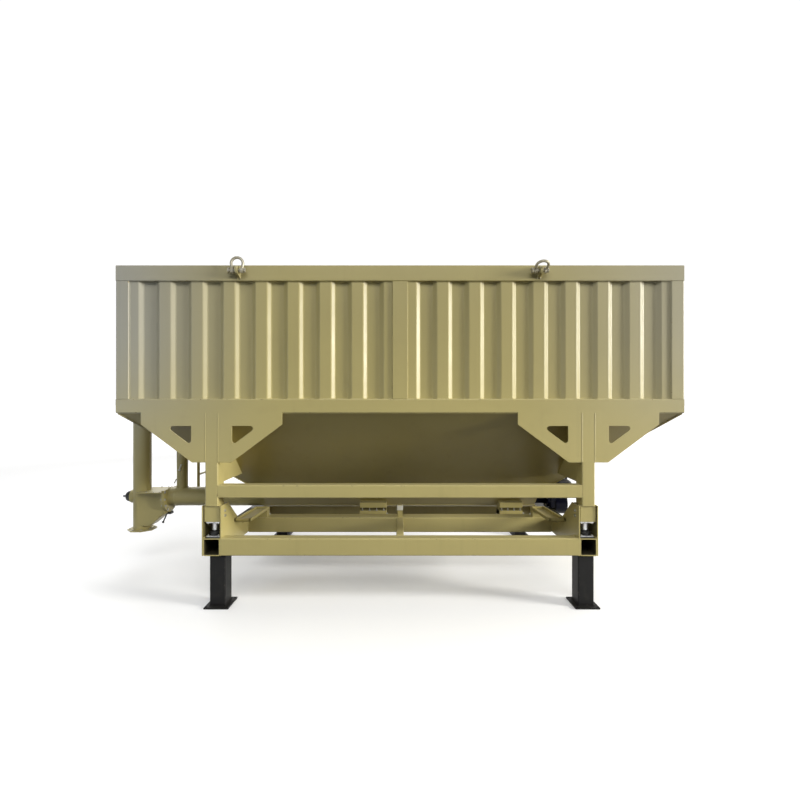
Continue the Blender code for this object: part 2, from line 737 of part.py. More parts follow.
def load_cells():
    """A load cell under each leg: a round base and a column between two plates."""
    for side_name, side in SIDES.items():
        for end_name, end in ENDS.items():
            x = BODY_X + end * LEG_X
            y = side * (HALF_WIDTH - CHEEK_PLATE - CAP_DEPTH / 2)
            half = CELL_PLATE_SIZE / 2
            low_z, high_z = SIDE_BEAM_TOP_Z + SEAT_GAP, CAP_BOTTOM_Z - SEAT_GAP
            name = f"load_cell_{side_name}_{end_name}"
            low, high = (x - half, y - half), (x + half, y + half)
            cell = box(name, (*low, low_z), (*high, low_z + CELL_PLATE), CELL_METAL)
            top = box(f"{name}_top", (*low, high_z - CELL_PLATE), (*high, high_z))
            foot = (x, y, low_z + CELL_PLATE / 2)
            base = cylinder(f"{name}_base", foot, "Z", CELL_BASE_HEIGHT, CELL_BASE_RADIUS)
            length = high_z - low_z - CELL_PLATE
            column = cylinder(f"{name}_column", foot, "Z", length, CELL_COLUMN_RADIUS)
            join(cell, base, column, top)


def feet():
    """Four black feet: a head plate, a square post and a foot plate."""
    for side_name, side in SIDES.items():
        for end_name in ENDS:
            x = BODY_X + FOOT_X[end_name]
            name = f"foot_{side_name}_{end_name}"
            y_low, y_high = sorted((side * HALF_WIDTH, side * (HALF_WIDTH - FOOT_PLATE_DEPTH)))
            half = FOOT_PLATE_WIDTH / 2
            foot = box(name, (x - half, y_low, 0), (x + half, y_high, FOOT_PLATE), FOOT_BLACK)
            near = HALF_WIDTH - (FOOT_PLATE_DEPTH - FOOT_POST_DEPTH) / 2
            y_low, y_high = sorted((side * near, side * (near - FOOT_POST_DEPTH)))
            half = FOOT_POST / 2
            high_z = SIDE_BEAM_BOTTOM_Z - SEAT_GAP
            post = box(
                f"{name}_post",
                (x - half, y_low, FOOT_PLATE / 2),
                (x + half, y_high, high_z - FOOT_HEAD_PLATE / 2),
            )
            lip = FOOT_HEAD_PLATE
            head = box(
                f"{name}_head",
                (x - half - lip, y_low - lip, high_z - FOOT_HEAD_PLATE),
                (x + half + lip, y_high + lip, high_z),
            )
            join(foot, post, head)


def trough_flange(name, x, thickness):
    """A flange with a flat top and a round foot, as trough screws have, from x along X."""
    turns = (-pi, 0, ROUND_SIDES // 2)
    outline = arc((0, FLANGE_ROUND_Z), FLANGE_HALF, *turns)
    outline += [(FLANGE_HALF, FLANGE_TOP_Z), (-FLANGE_HALF, FLANGE_TOP_Z)]
    return prism(name, outline, "X", x, thickness)


def screw_tube():
    """The screw's closed tube from the trough's left end to its flange."""
    start = BODY_X - TROUGH_HALF_LENGTH - SEAT_GAP
    end = BODY_X + FLANGE_X
    place = (start, 0, SCREW_AXIS_Z)
    tube = cylinder("screw_tube", place, "X", end - start, TUBE_RADIUS, BEIGE)
    join(tube, trough_flange("screw_tube_flange", end, FLANGE_PLATE))


def mesh_from_curve(name, points, radius, look=None, resolution=2):
    """A round bar or tube along a line of points, made a mesh so that it can be cut and joined."""
    curve = bpy.data.curves.new(name, "CURVE")
    curve.dimensions = "3D"
    curve.bevel_depth = radius
    curve.bevel_resolution = resolution
    curve.use_fill_caps = True
    spline = curve.splines.new("POLY")
    spline.points.add(len(points) - 1)
    for point, place in zip(spline.points, points):
        point.co = (*place, 1.0)
    guide = bpy.data.objects.new(name, curve)
    bpy.data.collections[CUTTERS].objects.link(guide)
    graph = bpy.context.evaluated_depsgraph_get()
    mesh = bpy.data.meshes.new_from_object(guide.evaluated_get(graph))
    bpy.data.objects.remove(guide)
    bpy.data.curves.remove(curve)
    bm = bmesh.new()
    bm.from_mesh(mesh)
    bmesh.ops.remove_doubles(bm, verts=bm.verts, dist=1e-5)
    bpy.data.meshes.remove(mesh)
    return add_object(name, finish_mesh(bm, name), look, smooth=True)


def chute(x, face):
    """The discharge head: a chute between its flange and the outlet pipe, with its cover."""
    outline = [(face, CHUTE_TOP_Z), (face, CHUTE_MOUTH_Z)]
    outline += [(BODY_X + a, b) for a, b in (CHUTE_KNEE, CHUTE_FOOT)]
    outline += [(x, CHUTE_FOOT[1]), (x, CHUTE_TOP_Z)]
    half = CHUTE_HALF_WIDTH
    body = prism("outlet_pipe_chute", outline, "Y", -half, 2 * half)
    low = (x, -COVER_HALF_WIDTH, CHUTE_TOP_Z - COVER_PLATE / 2)
    cover = box("outlet_pipe_cover", low, (face, COVER_HALF_WIDTH, CHUTE_TOP_Z + COVER_PLATE / 2))
    return body, cover


def outlet_pipe():
    """The discharge head, its pipe down to the outlet flange and the riser up to the end wall."""
    x, z = BODY_X + OUTLET_X, SCREW_AXIS_Z
    face = BODY_X + FLANGE_X - SEAT_GAP
    wall_x = BODY_X - HALF_LENGTH + SHEET_RECESS - SEAT_GAP
    centre = (x + RISER_BEND, RISER_TOP_Z - RISER_BEND)
    bend = arc(centre, RISER_BEND, pi, pi / 2, RISER_BEND_STEPS)
    line = [(x, OUTLET_Z)] + bend + [(wall_x - WALL_PAD / 2, RISER_TOP_Z)]
    line = [(a, 0, b) for a, b in line]
    pipe = mesh_from_curve("outlet_pipe", line, OUTLET_RADIUS, BEIGE, ROUND_SIDES // 2 - 2)
    pad = box(
        "outlet_pipe_pad",
        (wall_x - WALL_PAD, -WALL_PAD_HALF, RISER_TOP_Z - WALL_PAD_HALF),
        (wall_x, WALL_PAD_HALF, RISER_TOP_Z + WALL_PAD_HALF),
    )
    flange = trough_flange("outlet_pipe_head_flange", face, -FLANGE_PLATE)
    rim = arc((x, 0), OUTLET_FLANGE_RADIUS, pi / 8, pi * 15 / 8, 7)
    plate = prism("outlet_flange", rim, "Z", OUTLET_Z, OUTLET_FLANGE_PLATE)
    boss_x = BODY_X + BEARING_FACE_X + SEAT_GAP
    boss = cylinder("outlet_pipe_boss", (x, 0, z), "X", boss_x - x, BEARING_BOSS_RADIUS)
    join(pipe, pad, *chute(x, face), flange, plate, boss)
    foot = (x, 0, OUTLET_Z - OUTLET_WALL)
    bore = cylinder("outlet_bore", foot, "Z", z - OUTLET_Z, OUTLET_RADIUS - OUTLET_WALL)
    cut(pipe, bore)


def end_bearing():
    """The black bearing at the screw's left end, with the stub of its shaft."""
    x = BODY_X + BEARING_FACE_X
    place = (x, 0, SCREW_AXIS_Z)
    bearing = cylinder(
        "end_bearing",
        place,
        "X",
        -BEARING_LENGTH,
        BEARING_RADIUS,
        BEARING_BLACK,
        end_radius=BEARING_NOSE_RADIUS,
    )
    length = BODY_X - LEFT_REACH - x
    stub = cylinder("end_bearing_stub", place, "X", length, STUB_RADIUS, sides=STUB_SIDES)
    join(bearing, stub)


def vent_pipe():
    """The pipe that stands on the screw tube and ends under the end wall's bottom rail."""
    x = BODY_X + VENT_X
    height = RIM_Z - SEAT_GAP - SCREW_AXIS_Z
    pipe = cylinder("vent_pipe", (x, 0, SCREW_AXIS_Z), "Z", height, VENT_RADIUS, BEIGE)
    reach = VENT_RADIUS * 2
    place = (x - reach, 0, SCREW_AXIS_Z)
    seat = cylinder("vent_seat", place, "X", 2 * reach, TUBE_RADIUS + SEAT_GAP)
    (low_x, low_z), (high_x, high_z) = end_slope_line(-SEAT_GAP)
    outline = [(low_x, low_z), (high_x, high_z), (high_x, ROOF_Z), (low_x, ROOF_Z)]
    outline = [(BODY_X - a, b) for a, b in outline]
    slope = prism("vent_slope", outline, "Y", -HALF_WIDTH, BODY_WIDTH)
    cut(pipe, seat, slope)


def drive():
    """The geared drive at the screw's right end: a reducer and its motor."""
    x_low, x_high = (BODY_X + x for x in GEARBOX_X)
    half = GEARBOX_HALF_WIDTH
    low_z, high_z = GEARBOX_Z
    reducer = box("gear_reducer", (x_low, -half, low_z), (x_high, half, high_z), DRIVE_BLUE)
    lobe_low, lobe_high = (BODY_X + x for x in GEARBOX_LOBE_X)
    place = (lobe_low, 0, GEARBOX_LOBE_Z)
    lobe = cylinder("gear_reducer_lobe", place, "X", lobe_high - lobe_low, GEARBOX_LOBE_RADIUS)
    start = BODY_X + TROUGH_HALF_LENGTH + SEAT_GAP
    place = (start, 0, SCREW_AXIS_Z)
    neck = cylinder("gear_reducer_neck", place, "X", x_low + half / 2 - start, NECK_RADIUS)
    place = (x_low - NECK_FLANGE, 0, SCREW_AXIS_Z)
    flange = cylinder("gear_reducer_flange", place, "X", 2 * NECK_FLANGE, NECK_FLANGE_RADIUS)
    join(reducer, lobe, neck, flange)
    place = (BODY_X + MOTOR_X, -half - SEAT_GAP, MOTOR_Z)
    cylinder("drive_motor", place, "Y", -MOTOR_LENGTH, MOTOR_RADIUS, DRIVE_BLUE)


def clean_out_doors():
    """Two doors on short necks under the front slope, closed by bolted covers."""
    core = hopper_core(SEAT_GAP)
    space = prism("door_hopper_space", core, "X", BODY_X - HALF_LENGTH, BODY_LENGTH)
    for end_name, (centre, width) in DOORS.items():
        x = BODY_X + centre
        name = f"clean_out_door_{end_name}"
        neck = box(
            name,
            (x - width / 2, -DOOR_NEAR_Y, DOOR_BOTTOM_Z),
            (x + width / 2, -DOOR_FAR_Y, DOOR_TOP_Z),
            BEIGE,
        )
        lip = width / 2 + DOOR_COVER_LIP
        cover = box(
            f"{name}_cover",
            (x - lip, -DOOR_NEAR_Y - DOOR_COVER_LIP, DOOR_BOTTOM_Z - DOOR_COVER / 2),
            (x + lip, -DOOR_FAR_Y, DOOR_BOTTOM_Z + DOOR_COVER / 2),
        )
        join(neck, cover)
        cut(neck, space)


def ladder():
    """The ladder on the left end: two stiles, their standoffs and the rungs."""
    x = BODY_X + LADDER_X
    low_y, high_y = LADDER_Y
    length = LADDER_TOP_Z - LADDER_BOTTOM_Z

    def bar(name, place, axis, reach, radius, look=None):
        return cylinder(name, place, axis, reach, radius, look, sides=LADDER_SIDES)

    foot = (x, low_y, LADDER_BOTTOM_Z)
    frame = bar("ladder", foot, "Z", length, LADDER_BAR_RADIUS, BEIGE)
    foot = (x, high_y, LADDER_BOTTOM_Z)
    join(frame, bar("ladder_rear_stile", foot, "Z", length, LADDER_BAR_RADIUS))
    for i in range(RUNG_COUNT):
        place = (x, low_y, RUNG_BOTTOM_Z + i * RUNG_PITCH)
        join(frame, bar(f"ladder_rung_{i}", place, "Y", high_y - low_y, RUNG_RADIUS))
    wall_x = BODY_X - HALF_LENGTH - SEAT_GAP
    heights = (RIM_Z + BOTTOM_RAIL_HEIGHT / 2, ROOF_Z - TOP_RAIL_HEIGHT / 2)
    for y in LADDER_Y:
        for z in heights:
            join(frame, bar("ladder_arm", (x, y, z), "X", wall_x - x, LADDER_ARM_RADIUS))


def lifting_lug(name, x, side):
    """A lug plate across a top rail's face, with the hole for a shackle's pin."""
    out = HALF_WIDTH + LUG_PIN_OUT
    root = HALF_WIDTH - LUG_ROOT
    nose = arc((out, LUG_PIN_Z), LUG_RADIUS, -pi / 2, pi / 2, ROUND_SIDES // 3)
    top_z = ROOF_Z - LUG_TOP_INSET
    outline = [(root, LUG_BOTTOM_Z)] + nose + [(root, top_z)]
    outline = [(side * y, z) for y, z in outline]
    start = BODY_X + x - LUG_PLATE / 2
    lug = prism(f"lug_{name}", outline, "X", start, LUG_PLATE)
    radius = (PIN_RADIUS + PIN_CLEARANCE) / cos(pi / ROUND_SIDES)
    place = (start - LUG_PLATE, side * out, LUG_PIN_Z)
    cut(lug, cylinder(f"lug_{name}_hole", place, "X", 3 * LUG_PLATE, radius))
    return lug


def shackle_mesh():
    """A bow shackle with its pin, about the pin's middle, the pin along X and the bow up."""
    top = arc((0, BOW_CENTRE_Z), BOW_RADIUS, pi, 0, BOW_STEPS)
    line = [(-EAR_X, 0)] + top + [(EAR_X, 0)]
    bow = mesh_from_curve("shackle_bow", [(x, 0, z) for x, z in line], BOW_WIRE_RADIUS)
    parts = [cylinder("shackle_pin", (-PIN_LENGTH / 2, 0, 0), "X", PIN_LENGTH, PIN_RADIUS)]
    place = (-PIN_LENGTH / 2 - PIN_HEAD / 2, 0, 0)
    parts.append(cylinder("shackle_pin_head", place, "X", PIN_HEAD, PIN_HEAD_RADIUS))
    for hand in (-1, 1):
        place = (hand * EAR_X - EAR_LENGTH / 2, 0, 0)
        parts.append(cylinder("shackle_ear", place, "X", EAR_LENGTH, EAR_RADIUS))
    join(bow, *parts)
    graph = bpy.context.evaluated_depsgraph_get()
    mesh = bpy.data.meshes.new_from_object(bow.evaluated_get(graph))
    for obj in (bow, *parts):
        bpy.data.objects.remove(obj)
    return mesh


def shackles():
    """Four shackles with their pins through the lugs, which share one mesh."""
    mesh = shackle_mesh()
    mesh.name = "shackle"
    mesh.materials.append(painted("shackle", SHACKLE_GREY))
    for side_name, side in SIDES.items():
        for end_name in ENDS:
            obj = bpy.data.objects.new(f"shackle_{side_name}_{end_name}", mesh)
            bpy.data.collections[COLLECTION].objects.link(obj)
            out = side * (HALF_WIDTH + LUG_PIN_OUT)
            obj.location = (BODY_X + LUG_X[end_name], out, LUG_PIN_Z)
            obj.rotation_euler = (radians(-side * SHACKLE_LEAN[end_name]), 0, 0)


def main():
    clear_scene()
    collection_named(COLLECTION)
    collection_named(CUTTERS).hide_render = True
    roof()
    for side_name, side in SIDES.items():
        long_wall(side_name, side)
    for end_name, end in ENDS.items():
        end_wall(end_name, end)
    hopper()
    legs()
    side_beams()
    cross_beams()
    load_cells()
    feet()
    screw_tube()
    outlet_pipe()
    end_bearing()
    vent_pipe()
    drive()
    clean_out_doors()
    ladder()
    shackles()


main()
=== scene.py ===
"""Looks of the horizontal cement silo: rounded steelwork, weld seams, bolts, paint and studio.

Metres, +Z up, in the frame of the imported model: the length runs along X and the front is at -Y.
"""

import json
import logging
from dataclasses import dataclass, field
from enum import Enum
from math import atan2, cos, pi, radians, sin, sqrt, tan
from typing import Any, Iterable, Sequence

import bmesh
import bpy
from mathutils import Matrix, Vector


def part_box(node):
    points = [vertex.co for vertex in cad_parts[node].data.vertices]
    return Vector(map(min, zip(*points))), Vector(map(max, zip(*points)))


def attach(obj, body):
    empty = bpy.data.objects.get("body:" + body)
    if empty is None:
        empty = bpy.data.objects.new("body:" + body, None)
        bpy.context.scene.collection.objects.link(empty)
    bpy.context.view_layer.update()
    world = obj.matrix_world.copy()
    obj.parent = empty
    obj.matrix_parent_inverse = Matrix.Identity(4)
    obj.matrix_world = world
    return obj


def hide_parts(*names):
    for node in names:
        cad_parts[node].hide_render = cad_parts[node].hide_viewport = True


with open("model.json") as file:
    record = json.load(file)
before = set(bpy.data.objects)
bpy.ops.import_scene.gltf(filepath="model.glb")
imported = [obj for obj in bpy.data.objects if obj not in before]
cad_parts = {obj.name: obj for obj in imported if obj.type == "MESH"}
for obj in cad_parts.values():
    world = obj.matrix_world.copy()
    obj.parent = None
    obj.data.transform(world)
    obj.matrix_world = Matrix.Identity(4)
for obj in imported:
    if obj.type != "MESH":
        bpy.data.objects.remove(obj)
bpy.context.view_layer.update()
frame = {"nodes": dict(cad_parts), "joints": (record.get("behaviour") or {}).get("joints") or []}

log = logging.getLogger("silo")

Point = Sequence[float]
Outline = Sequence[tuple[float, float]]
Colour = tuple[float, float, float]

UP, DOWN = (0, 0, 1), (0, 0, -1)
CORNERS = ((-1, -1), (-1, 1), (1, -1), (1, 1))
FULL_TURN = 2 * pi
WHITE = (1.0, 1.0, 1.0)

PLATE_ROUND = 0.0015
THIN_ROUND = 0.0012
BEAM_ROUND = 0.009
HAIR = 0.0003
MIDDLE_X = 0.295
SCREW_Z = 0.660
HOPPER_RIM_Z = 1.513


class Axis(Enum):
    """The three directions of the frame."""

    X = (1.0, 0.0, 0.0)
    Y = (0.0, 1.0, 0.0)
    Z = (0.0, 0.0, 1.0)

    @property
    def vector(self) -> Vector:
        """The direction as a vector."""
        return Vector(self.value)


class Hand(Enum):
    """A word in the nodes' names, with the sign of its coordinate."""

    @property
    def label(self) -> str:
        """The word in the nodes' names."""
        return self.value[0]

    @property
    def sign(self) -> int:
        """The sign of its Y or X."""
        return self.value[1]


class Side(Hand):
    """The long sides, with the sign of their Y."""

    FRONT = ("front", -1)
    REAR = ("rear", 1)


class End(Hand):
    """The short ends, with the sign of their X."""

    LEFT = ("left", -1)
    RIGHT = ("right", 1)


class Value:
    """A number in a material, on which Python's operators add Math nodes."""

    def __init__(self, recipe: "Recipe", socket: bpy.types.NodeSocket) -> None:
        """Keeps the socket and the recipe that it belongs to."""
        self.recipe = recipe
        self.socket = socket

    def _maths(self, operation: str, first: Any, second: Any) -> "Value":
        """One Math node.

        Args:
            operation: the node's operation.
            first: its first number or value.
            second: its second number or value.

        Returns:
            The node's result.
        """
        node = self.recipe.add(
            "ShaderNodeMath", {"operation": operation}, {0: first, 1: second}
        )
        return Value(self.recipe, node.outputs[0])

    def __add__(self, other: Any) -> "Value":
        """This plus other."""
        return self._maths("ADD", self, other)

    def __radd__(self, other: Any) -> "Value":
        """Other plus this."""
        return self._maths("ADD", other, self)

    def __sub__(self, other: Any) -> "Value":
        """This minus other."""
        return self._maths("SUBTRACT", self, other)

    def __rsub__(self, other: Any) -> "Value":
        """Other minus this."""
        return self._maths("SUBTRACT", other, self)

    def __mul__(self, other: Any) -> "Value":
        """This times other."""
        return self._maths("MULTIPLY", self, other)

    def __rmul__(self, other: Any) -> "Value":
        """Other times this."""
        return self._maths("MULTIPLY", other, self)

    def highest(self, other: Any) -> "Value":
        """The larger of this and other."""
        return self._maths("MAXIMUM", self, other)

    def between(self, low: float, high: float) -> "Value":
        """A soft step from 0 at low to 1 at high.

        Args:
            low: where the step starts.
            high: where it ends.

        Returns:
            The step's value.
        """
        node = self.recipe.add(
            "ShaderNodeMapRange",
            {"interpolation_type": "SMOOTHSTEP", "clamp": True},
            {"Value": self, "From Min": low, "From Max": high},
        )
        return Value(self.recipe, node.outputs["Result"])


class Recipe:
    """The nodes of one material, or of the surroundings."""

    def __init__(self, holder: bpy.types.ID, shader: str, place: str) -> None:
        """Starts on the nodes that a new holder has.

        Args:
            holder: the material or world.
            shader: the name of its shader node.
            place: the texture coordinate that the patterns lie in.
        """
        holder.use_nodes = True
        self.holder = holder
        self.nodes = holder.node_tree.nodes
        self.links = holder.node_tree.links
        self.shader = self.nodes[shader]
        self.place = self.add("ShaderNodeTexCoord").outputs[place]

    @classmethod
    def of_material(cls, name: str) -> "Recipe":
        """A recipe for a new material."""
        return cls(bpy.data.materials.new(name), "Principled BSDF", "Object")

    @classmethod
    def of_world(cls, name: str) -> "Recipe":
        """A recipe for new surroundings, whose places are directions."""
        return cls(bpy.data.worlds.new(name), "Background", "Generated")

    def add(self, kind: str, settings: dict | None = None, feeds: dict | None = None) -> Any:
        """Adds a node.

        Args:
            kind: the node's type.
            settings: its settings, which are set first.
            feeds: numbers, colours, values or sockets for its inputs.

        Returns:
            The node.
        """
        node = self.nodes.new(kind)
        for key, setting in (settings or {}).items():
            setattr(node, key, setting)
        for key, source in (feeds or {}).items():
            self.feed(node.inputs[key], source)
        return node

    def feed(self, socket: bpy.types.NodeSocket, source: Any) -> None:
        """Sets a socket to a number or colour, or links a value or socket to it.

        Args:
            socket: the socket.
            source: what it takes.
        """
        if isinstance(source, Value):
            source = source.socket
        if isinstance(source, bpy.types.NodeSocket):
            self.links.new(source, socket)
        else:
            socket.default_value = source

    def shade(self, **sources: Any) -> None:
        """Feeds inputs of the shader, named with _ for a space."""
        for name, source in sources.items():
            self.feed(self.shader.inputs[name.replace("_", " ")], source)

    def noise(self, scale: float, detail: float = 3.0, stretch: Point | None = None) -> Value:
        """A noise over the piece's place.

        Args:
            scale: how many waves fit in a metre.
            detail: how many finer octaves it has.
            stretch: the scale along each axis, where it isn't the same.

        Returns:
            The noise, from 0 to 1 about 0.5.
        """
        place = self.place
        if stretch:
            mapped = self.add("ShaderNodeMapping", None, {"Vector": place, "Scale": stretch})
            place = mapped.outputs[0]
        feeds = {"Vector": place, "Scale": scale, "Detail": detail, "Roughness": 0.55}
        return Value(self, self.add("ShaderNodeTexNoise", None, feeds).outputs[0])

    def _part(self, vector: bpy.types.NodeSocket, letter: str) -> Value:
        """One of the three numbers of a vector."""
        split = self.add("ShaderNodeSeparateXYZ", None, {0: vector})
        return Value(self, split.outputs[letter])

    def upward(self) -> Value:
        """How far the surface faces up, from -1 to 1."""
        return self._part(self.add("ShaderNodeNewGeometry").outputs["Normal"], "Z")

    def part_of_place(self, letter: str) -> Value:
        """The X, Y or Z of the place."""
        return self._part(self.place, letter)

    def mark(self, name: str) -> Value:
        """A mark that the faces carry, such as 1 on the rounded edges and 0 between them."""
        node = self.add("ShaderNodeAttribute", {"attribute_name": name})
        return Value(self, node.outputs["Fac"])

    def blend(self, share: Any, first: Any, second: Any) -> Any:
        """A mix of two colours.

        Args:
            share: how much of the second one there is.
            first: the first colour, or a socket.
            second: the second colour, or a socket.

        Returns:
            The mixed colour's socket.
        """
        feeds = {0: share, 6: self.opaque(first), 7: self.opaque(second)}
        return self.add("ShaderNodeMix", {"data_type": "RGBA"}, feeds).outputs[2]

    @staticmethod
    def opaque(colour: Any) -> Any:
        """A colour with its fourth number, or the socket as it is."""
        return (*colour, 1.0) if isinstance(colour, tuple) else colour

    def bump(self, height: Value, distance: float, strength: float = 1.0) -> None:
        """Feeds the shader's normal from a height.

        Args:
            height: the height, where 1 is the whole distance.
            distance: the distance in metres.
            strength: how much of it shows.
        """
        feeds = {"Height": height, "Distance": distance, "Strength": strength}
        self.shade(Normal=self.add("ShaderNodeBump", None, feeds).outputs[0])


@dataclass(frozen=True)
class Finish:
    """A named finish, with the record's slot that it stands for."""

    name: str
    slot: str

    def paint(self, recipe: Recipe) -> None:
        """Adds the finish to a recipe."""
        raise NotImplementedError

    def material(self) -> bpy.types.Material:
        """The finish as a material, which is made once.

        Returns:
            The material.
        """
        made = bpy.data.materials.get(self.name)
        if made:
            return made
        recipe = Recipe.of_material(self.name)
        self.paint(recipe)
        return recipe.holder


@dataclass(frozen=True)
class Enamel(Finish):
    """Sprayed paint: paler low down, patches, dust, rain streaks, grime, worn edges, painted shade
    and sheen.
    """

    colour: Colour
    faded: Colour
    streak: Colour
    dust: Colour
    under: Colour
    roughness: float = 0.42
    wear: float = 0.5
    dusting: float = 0.5
    ripple: float = 0.0
    specular: float = 0.5
    # A grey painted reflection towards both ends of the upper body.
    haze: Colour | None = None
    # Near-black painted shade, blended into the marked recess faces.
    dark: Colour = (0.010, 0.009, 0.007)

    def paint(self, recipe: Recipe) -> None:
        """Adds the paint, from its broad paler patches to its chips and its relief.

        Args:
            recipe: the recipe of its material.
        """
        height = recipe.part_of_place("Z")
        cloud = recipe.noise(5.5, 4.0)
        rain = recipe.noise(1.0, 5.0, (11.0, 11.0, 0.55)).between(0.55, 0.80)
        level = recipe.upward().between(0.35, 0.95)
        dirt = recipe.noise(14.0, 6.0).between(0.45, 0.75)
        chipped = 0.70 - 0.28 * self.wear
        chip = recipe.noise(46.0, 6.0).between(chipped, chipped + 0.06) * recipe.mark("edge")
        scuff = recipe.noise(1.0, 6.0, (70.0, 70.0, 9.0)).between(0.66, 0.76)
        settled = level * (0.45 + cloud * 0.8) * self.dusting
        # Paler in broad patches, and much paler towards the bottom, fully below 1.1 m.
        paler_share = recipe.noise(0.8, 2.0).between(0.32, 0.70) * 0.25
        paler_share = paler_share + (1.0 - height.between(1.1, 2.62)) * 0.85
        shade = recipe.blend(paler_share, self.colour, self.faded)
        shade = recipe.blend(rain * (1.0 - level) * 0.20, shade, self.streak)
        shade = recipe.blend(cloud.between(0.50, 0.80) * 0.16, shade, self.streak)
        shade = recipe.blend((1.0 - height.between(0.02, 0.55)) * dirt * 0.30, shade, self.dust)
        shade = recipe.blend(settled, shade, self.dust)
        shade = recipe.blend(scuff * 0.10, shade, self.faded)
        # Painted reflection: a grey sheen towards both ends, stronger at the left, rising from 0.7
        # m to 2.3 m.
        if self.haze:
            along = recipe.part_of_place("X")
            ends = (1.0 - along.between(-2.3, -0.5)) * 0.90 + along.between(1.0, 2.9) * 0.58
            shade = recipe.blend(ends * height.between(0.7, 2.3), shade, self.haze)
        shade = recipe.blend(chip * 0.75, shade, self.under)
        # Painted shade: marked faces in recesses and tube interiors turn near-black.
        shade = recipe.blend(recipe.mark("inside") * 0.94, shade, self.dark)
        gloss = self.roughness + cloud * 0.14 - 0.07 + settled * 0.25 + rain * 0.06
        recipe.shade(
            Base_Color=shade, Roughness=gloss + chip * 0.15, Specular_IOR_Level=self.specular
        )
        relief = recipe.noise(2.6, 1.0) * 0.8 + recipe.noise(260.0, 2.0) * 0.035
        relief = relief - chip * 0.06 + cloud * 0.05
        if self.ripple:
            relief = relief + recipe.noise(150.0, 2.0) * self.ripple
        recipe.bump(relief, 0.003, 0.8)


@dataclass(frozen=True)
class Steel(Finish):
    """Bare or plated steel with a fine grain, stains and dull patches."""

    colour: Colour
    stain: Colour
    roughness: float = 0.34
    metallic: float = 0.95
    staining: float = 0.5

    def paint(self, recipe: Recipe) -> None:
        """Adds the grain, the stains and the dull patches.

        Args:
            recipe: the recipe of its material.
        """
        grain = recipe.noise(420.0, 2.0, (1.0, 1.0, 0.12))
        patch = recipe.noise(38.0, 5.0)
        stained = patch.between(0.48, 0.72) * self.staining
        shade = recipe.blend(grain * 0.25, self.colour, self.stain)
        recipe.shade(
            Base_Color=recipe.blend(stained, shade, self.stain),
            Metallic=self.metallic - stained * 0.6,
            Roughness=self.roughness + patch * 0.16 - 0.08 + stained * 0.30,
        )
        recipe.bump(grain * 0.3 + patch * 0.5, 0.0006)


@dataclass(frozen=True)
class Moulding(Finish):
    """Moulded plastic or cast black housing with a fine texture and dust."""

    colour: Colour
    dust: Colour
    roughness: float = 0.5
    texture: float = 300.0

    def paint(self, recipe: Recipe) -> None:
        """Adds the texture, the dull patches and the dust.

        Args:
            recipe: the recipe of its material.
        """
        patch = recipe.noise(22.0, 4.0)
        settled = recipe.upward().between(0.3, 0.95) * (0.25 + patch * 0.5)
        shade = recipe.blend(patch.between(0.5, 0.8) * 0.35, self.colour, self.dust)
        recipe.shade(
            Base_Color=recipe.blend(settled * 0.6, shade, self.dust),
            Roughness=self.roughness + patch * 0.2 - 0.1,
        )
        recipe.bump(recipe.noise(self.texture, 2.0) * 0.5 + patch * 0.3, 0.0006)


KHAKI = Enamel(
    "khaki_enamel",
    "silo_paint",
    colour=(0.315, 0.270, 0.108),
    faded=(0.455, 0.387, 0.151),
    streak=(0.290, 0.242, 0.098),
    dust=(0.455, 0.410, 0.245),
    under=(0.230, 0.185, 0.085),
    roughness=0.40,
    wear=0.30,
    dusting=0.30,
    haze=(0.315, 0.315, 0.298),
)
KHAKI_SEAM = Enamel(
    "khaki_enamel_on_welds",
    "silo_paint",
    colour=(0.305, 0.262, 0.105),
    faded=(0.440, 0.374, 0.146),
    streak=(0.260, 0.215, 0.088),
    dust=(0.430, 0.385, 0.230),
    under=(0.220, 0.175, 0.080),
    roughness=0.44,
    wear=0.2,
    ripple=0.4,
    haze=(0.305, 0.305, 0.288),
)
# A browner, dimmer copy of the khaki paint: painted shade for the hopper's slopes.
KHAKI_IN_PAINTED_SHADE = Enamel(
    "khaki_enamel_with_painted_shade",
    "silo_paint",
    colour=(0.250, 0.208, 0.070),
    faded=(0.362, 0.298, 0.095),
    streak=(0.235, 0.190, 0.064),
    dust=(0.370, 0.315, 0.160),
    under=(0.200, 0.160, 0.070),
    wear=0.30,
    dusting=0.30,
)
FOOT_BLACK = Enamel(
    "foot_black_paint",
    "foot_paint",
    colour=(0.0040, 0.0040, 0.0040),
    faded=(0.0070, 0.0070, 0.0070),
    streak=(0.0110, 0.0100, 0.0080),
    dust=(0.0300, 0.0280, 0.0230),
    under=(0.0700, 0.0640, 0.0540),
    roughness=0.50,
    wear=0.45,
    dusting=0.35,
    specular=0.22,
)
NAVY = Enamel(
    "navy_drive_enamel",
    "drive_paint",
    colour=(0.0006, 0.0009, 0.0050),
    faded=(0.0009, 0.0014, 0.0080),
    streak=(0.0008, 0.0010, 0.0036),
    dust=(0.0050, 0.0056, 0.0090),
    under=(0.0500, 0.0500, 0.0540),
    roughness=0.32,
    wear=0.35,
    dusting=0.30,
    specular=0.12,
)
PLATED = Steel("plated_steel", "load_cell_metal", (0.62, 0.63, 0.64), (0.24, 0.22, 0.18), 0.30)
BOLT = Steel("zinc_bolt", "load_cell_metal", (0.50, 0.49, 0.44), (0.26, 0.22, 0.13), 0.38)
SHACKLE = Steel(
    "shackle_steel", "shackle_metal", (0.33, 0.31, 0.25), (0.30, 0.26, 0.14), 0.42, 0.55, 0.8
)
SHAFT = Steel("ground_shaft", "bearing_black", (0.30, 0.30, 0.31), (0.10, 0.09, 0.08), 0.30)
BLACK = Moulding(
    "black_housing", "bearing_black", (0.004, 0.004, 0.0045), (0.045, 0.042, 0.036)
)
